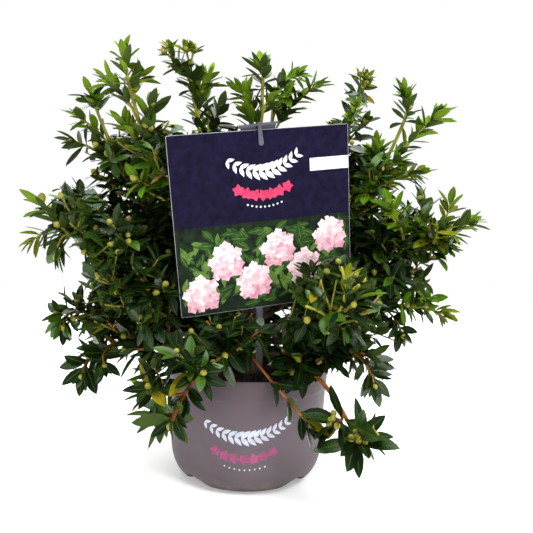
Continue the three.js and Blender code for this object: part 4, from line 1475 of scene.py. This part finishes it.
def make_card_print(left, right, low, high, front):
    """Round trusses of five-petalled blossoms over leaves on the lower half of the card."""
    rng = random.Random(PRINT_SEED)
    bundle = Bundle()
    depth = front - PRINT_LIFT

    def lay(shape, ink):
        nonlocal depth
        bundle.add(*fan(shape, depth, -1), PRINT_INKS.index(ink))
        depth -= PRINT_STEP

    def fits(shape):
        return all(left < x < right and low < z < high for x, z in shape)

    half, raised, droop = CARD_GARLAND
    for shape, kind in garland(half, (CARD_ABOVE_PEG + high) / 2 + raised, droop):
        lay(shape, GARLAND_INKS[kind])
    for _ in range(PRINT_LEAVES):
        middle = (rng.uniform(left, right), rng.uniform(low, high))
        turn, length = rng.uniform(0, FULL_TURN), rng.uniform(12, 22)
        shape = petal(middle, turn, length, length * 0.38)
        if fits(shape):
            lay(shape, rng.choice(("card_leaf", "card_leaf", "card_leaf_pale")))
            lay(petal(middle, turn, length * 0.92, 0.7), "card_vein")
    for i in range(PRINT_TRUSSES):
        across = (i + 0.5) / PRINT_TRUSSES
        up = lerp(0.34, 0.66, across) + (0.17 if i % 2 else -0.17)
        truss = (lerp(left + 8, right - 8, across), lerp(low + 5, high - 5, up))
        for k in reversed(range(TRUSS_BLOSSOMS)):
            out = math.sqrt((k + 0.3) / TRUSS_BLOSSOMS) * TRUSS_RADIUS
            angle = GOLDEN_ANGLE * k
            radius = rng.uniform(5.0, 7.0)
            middle = (truss[0] + out * math.cos(angle), truss[1] + out * math.sin(angle))
            light = (middle[1] - truss[1] - 0.6 * (middle[0] - truss[0])) / TRUSS_RADIUS
            first = rng.uniform(0, FULL_TURN)
            for i_petal in range(5):
                turn = first + FULL_TURN * i_petal / 5
                shade = light + rng.gauss(0, 0.45)
                shape = petal(middle, turn, radius, radius * 0.95)
                if fits(shape):
                    pink = "card_pale_pink" if shade > -0.6 else "card_pink"
                    lay(shape, "card_white_pink" if shade > 0.35 else pink)
            heart = petal(middle, first, radius * 0.3, radius * 0.2)
            if fits(heart):
                lay(heart, "card_heart")
    inks = [INK[name] for name in PRINT_INKS]
    bundle.make("label_card_print", inks, "label_card", smooth=False)


def make_pot_print():
    """The same swags, laid on the front of the pot's wall."""
    underside, rest = pot_profile()
    outline = [point for point in underside if point[0] >= POT_BASE_RADIUS] + rest[:6]
    radii, heights = np.array(outline).T
    bundle = Bundle()
    for shape, kind in garland(*POT_GARLAND):
        shape = np.array(shape + [tuple(np.mean(shape, axis=0))])
        bearing = shape[:, 0] / POT_WALL_RADIUS - math.pi / 2
        reach = np.interp(shape[:, 1], heights, radii) + POT_PRINT_LIFT
        corners = np.stack([reach * np.cos(bearing), reach * np.sin(bearing), shape[:, 1]], 1)
        count = len(shape) - 1
        bundle.add(corners, [(count, i, (i + 1) % count) for i in range(count)], kind)
    bundle.make("pot_print", [INK["pot_print_pale"], INK["pot_print_rose"]], "pot_plastic")


# Studio, in metres apart from the camera

FLOOR_RADIUS = 1.7
FLOOR_GLOW = 0.3
SKY_LOW = 1.0
SKY_HIGH = 0.38
SKY_RISE = (0.34, 0.5)


def make_floor():
    """A pale round floor."""
    finish = Finish("studio_floor", 0.8)
    finish.shader["Emission Color"].default_value = (1, 1, 1, 1)
    finish.shader["Emission Strength"].default_value = FLOOR_GLOW
    cloud = finish.noise(3, 2)
    finish.colour(finish.ramp(cloud, (0.3, (0.93, 0.93, 0.93)), (0.7, (0.96, 0.96, 0.96))))
    sides = 96
    turn = around(sides)
    corners = [(FLOOR_RADIUS * math.cos(a), FLOOR_RADIUS * math.sin(a), 0) for a in turn]
    mesh = bpy.data.meshes.new("studio_floor")
    mesh.from_pydata(corners, [], [list(range(sides))])
    mesh.materials.append(finish.material)
    floor = bpy.data.objects.new("studio_floor", mesh)
    bpy.context.scene.collection.objects.link(floor)


def make_sky():
    """A soft surround, white at the height of the eye and dimmer overhead."""
    world = bpy.data.worlds.new("studio")
    world.use_nodes = True
    nodes, links = world.node_tree.nodes, world.node_tree.links
    place = nodes.new("ShaderNodeTexCoord").outputs["Generated"]
    split = nodes.new("ShaderNodeSeparateXYZ")
    links.new(place, split.inputs["Vector"])
    ramp = nodes.new("ShaderNodeValToRGB")
    low, high = ramp.color_ramp.elements
    low.position, high.position = SKY_RISE
    low.color = (SKY_LOW, SKY_LOW, SKY_LOW, 1)
    high.color = (SKY_HIGH, SKY_HIGH, SKY_HIGH, 1)
    links.new(split.outputs["Z"], ramp.inputs["Fac"])
    links.new(ramp.outputs["Color"], nodes["Background"].inputs["Color"])
    nodes["Background"].inputs["Strength"].default_value = 1.0
    bpy.context.scene.world = world


LIGHTS = (
    ("overhead", (0.2, -0.2, 3.0), (0, 0, 0), 4.5, 225),
    ("key", (0.9, -1.5, 1.9), (0, 0, 0.28), 0.8, 34),
    ("rim", (-0.9, 1.3, 1.7), (0, 0, 0.35), 1.0, 14),
)


def make_stage():
    make_floor()
    make_sky()
    for name, place, aimed, size, power in LIGHTS:
        lamp = bpy.data.lights.new(name, "AREA")
        lamp.size = size
        lamp.energy = power
        light = bpy.data.objects.new(name, lamp)
        light.location = place
        aim = Vector(aimed) - light.location
        light.rotation_euler = aim.to_track_quat("-Z", "Y").to_euler()
        bpy.context.scene.collection.objects.link(light)


CAMERA_PLACE = (18.9, -763.2, 318.5)
CAMERA_DOWN = 5.45
CAMERA_ROLL = 1.5
CAMERA_LENS = 43.9
CAMERA_SENSOR = 36


def make_camera():
    data = bpy.data.cameras.new("camera")
    data.lens = CAMERA_LENS
    data.sensor_width = CAMERA_SENSOR
    camera = bpy.data.objects.new("camera", data)
    turned = Matrix.Rotation(math.radians(90 - CAMERA_DOWN), 4, "X")
    rolled = Matrix.Rotation(math.radians(CAMERA_ROLL), 4, "Z")
    place = Matrix.Translation(Vector(CAMERA_PLACE) * MM)
    camera.matrix_world = place @ turned @ rolled
    bpy.context.scene.collection.objects.link(camera)
    bpy.context.scene.camera = camera


bpy.context.scene.view_settings.view_transform = "Standard"
make_camera()
make_stage()
LIMBS = plan_limbs()
BY_NAME = {limb.name: limb for limb in LIMBS}
for one in LIMBS:
    Grower(one, SPRAY_SEED + one.seed, one.ring not in HANGING_RINGS).sprays()
for number, (limb_name, place, reached, look) in enumerate(LEADERS):
    Grower(BY_NAME[limb_name], LEADER_SEED + number).leader(place, reached, look)
LED = {leader[0] for leader in LEADERS}
for one in LIMBS:
    if one.ring in HIGH_RINGS and one.name not in LED:
        Grower(one, UPRIGHT_SEED + one.seed).uprights()
make_wood(LIMBS)
make_leaves([f"leaves_{limb.name}" for limb in LIMBS])
make_twigs(LIMBS)
make_buds()
make_pot()
make_soil()
make_card()
make_pot_print()
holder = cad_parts["label_holder"]
for slot in holder.material_slots:
    slot.material = HOLDER
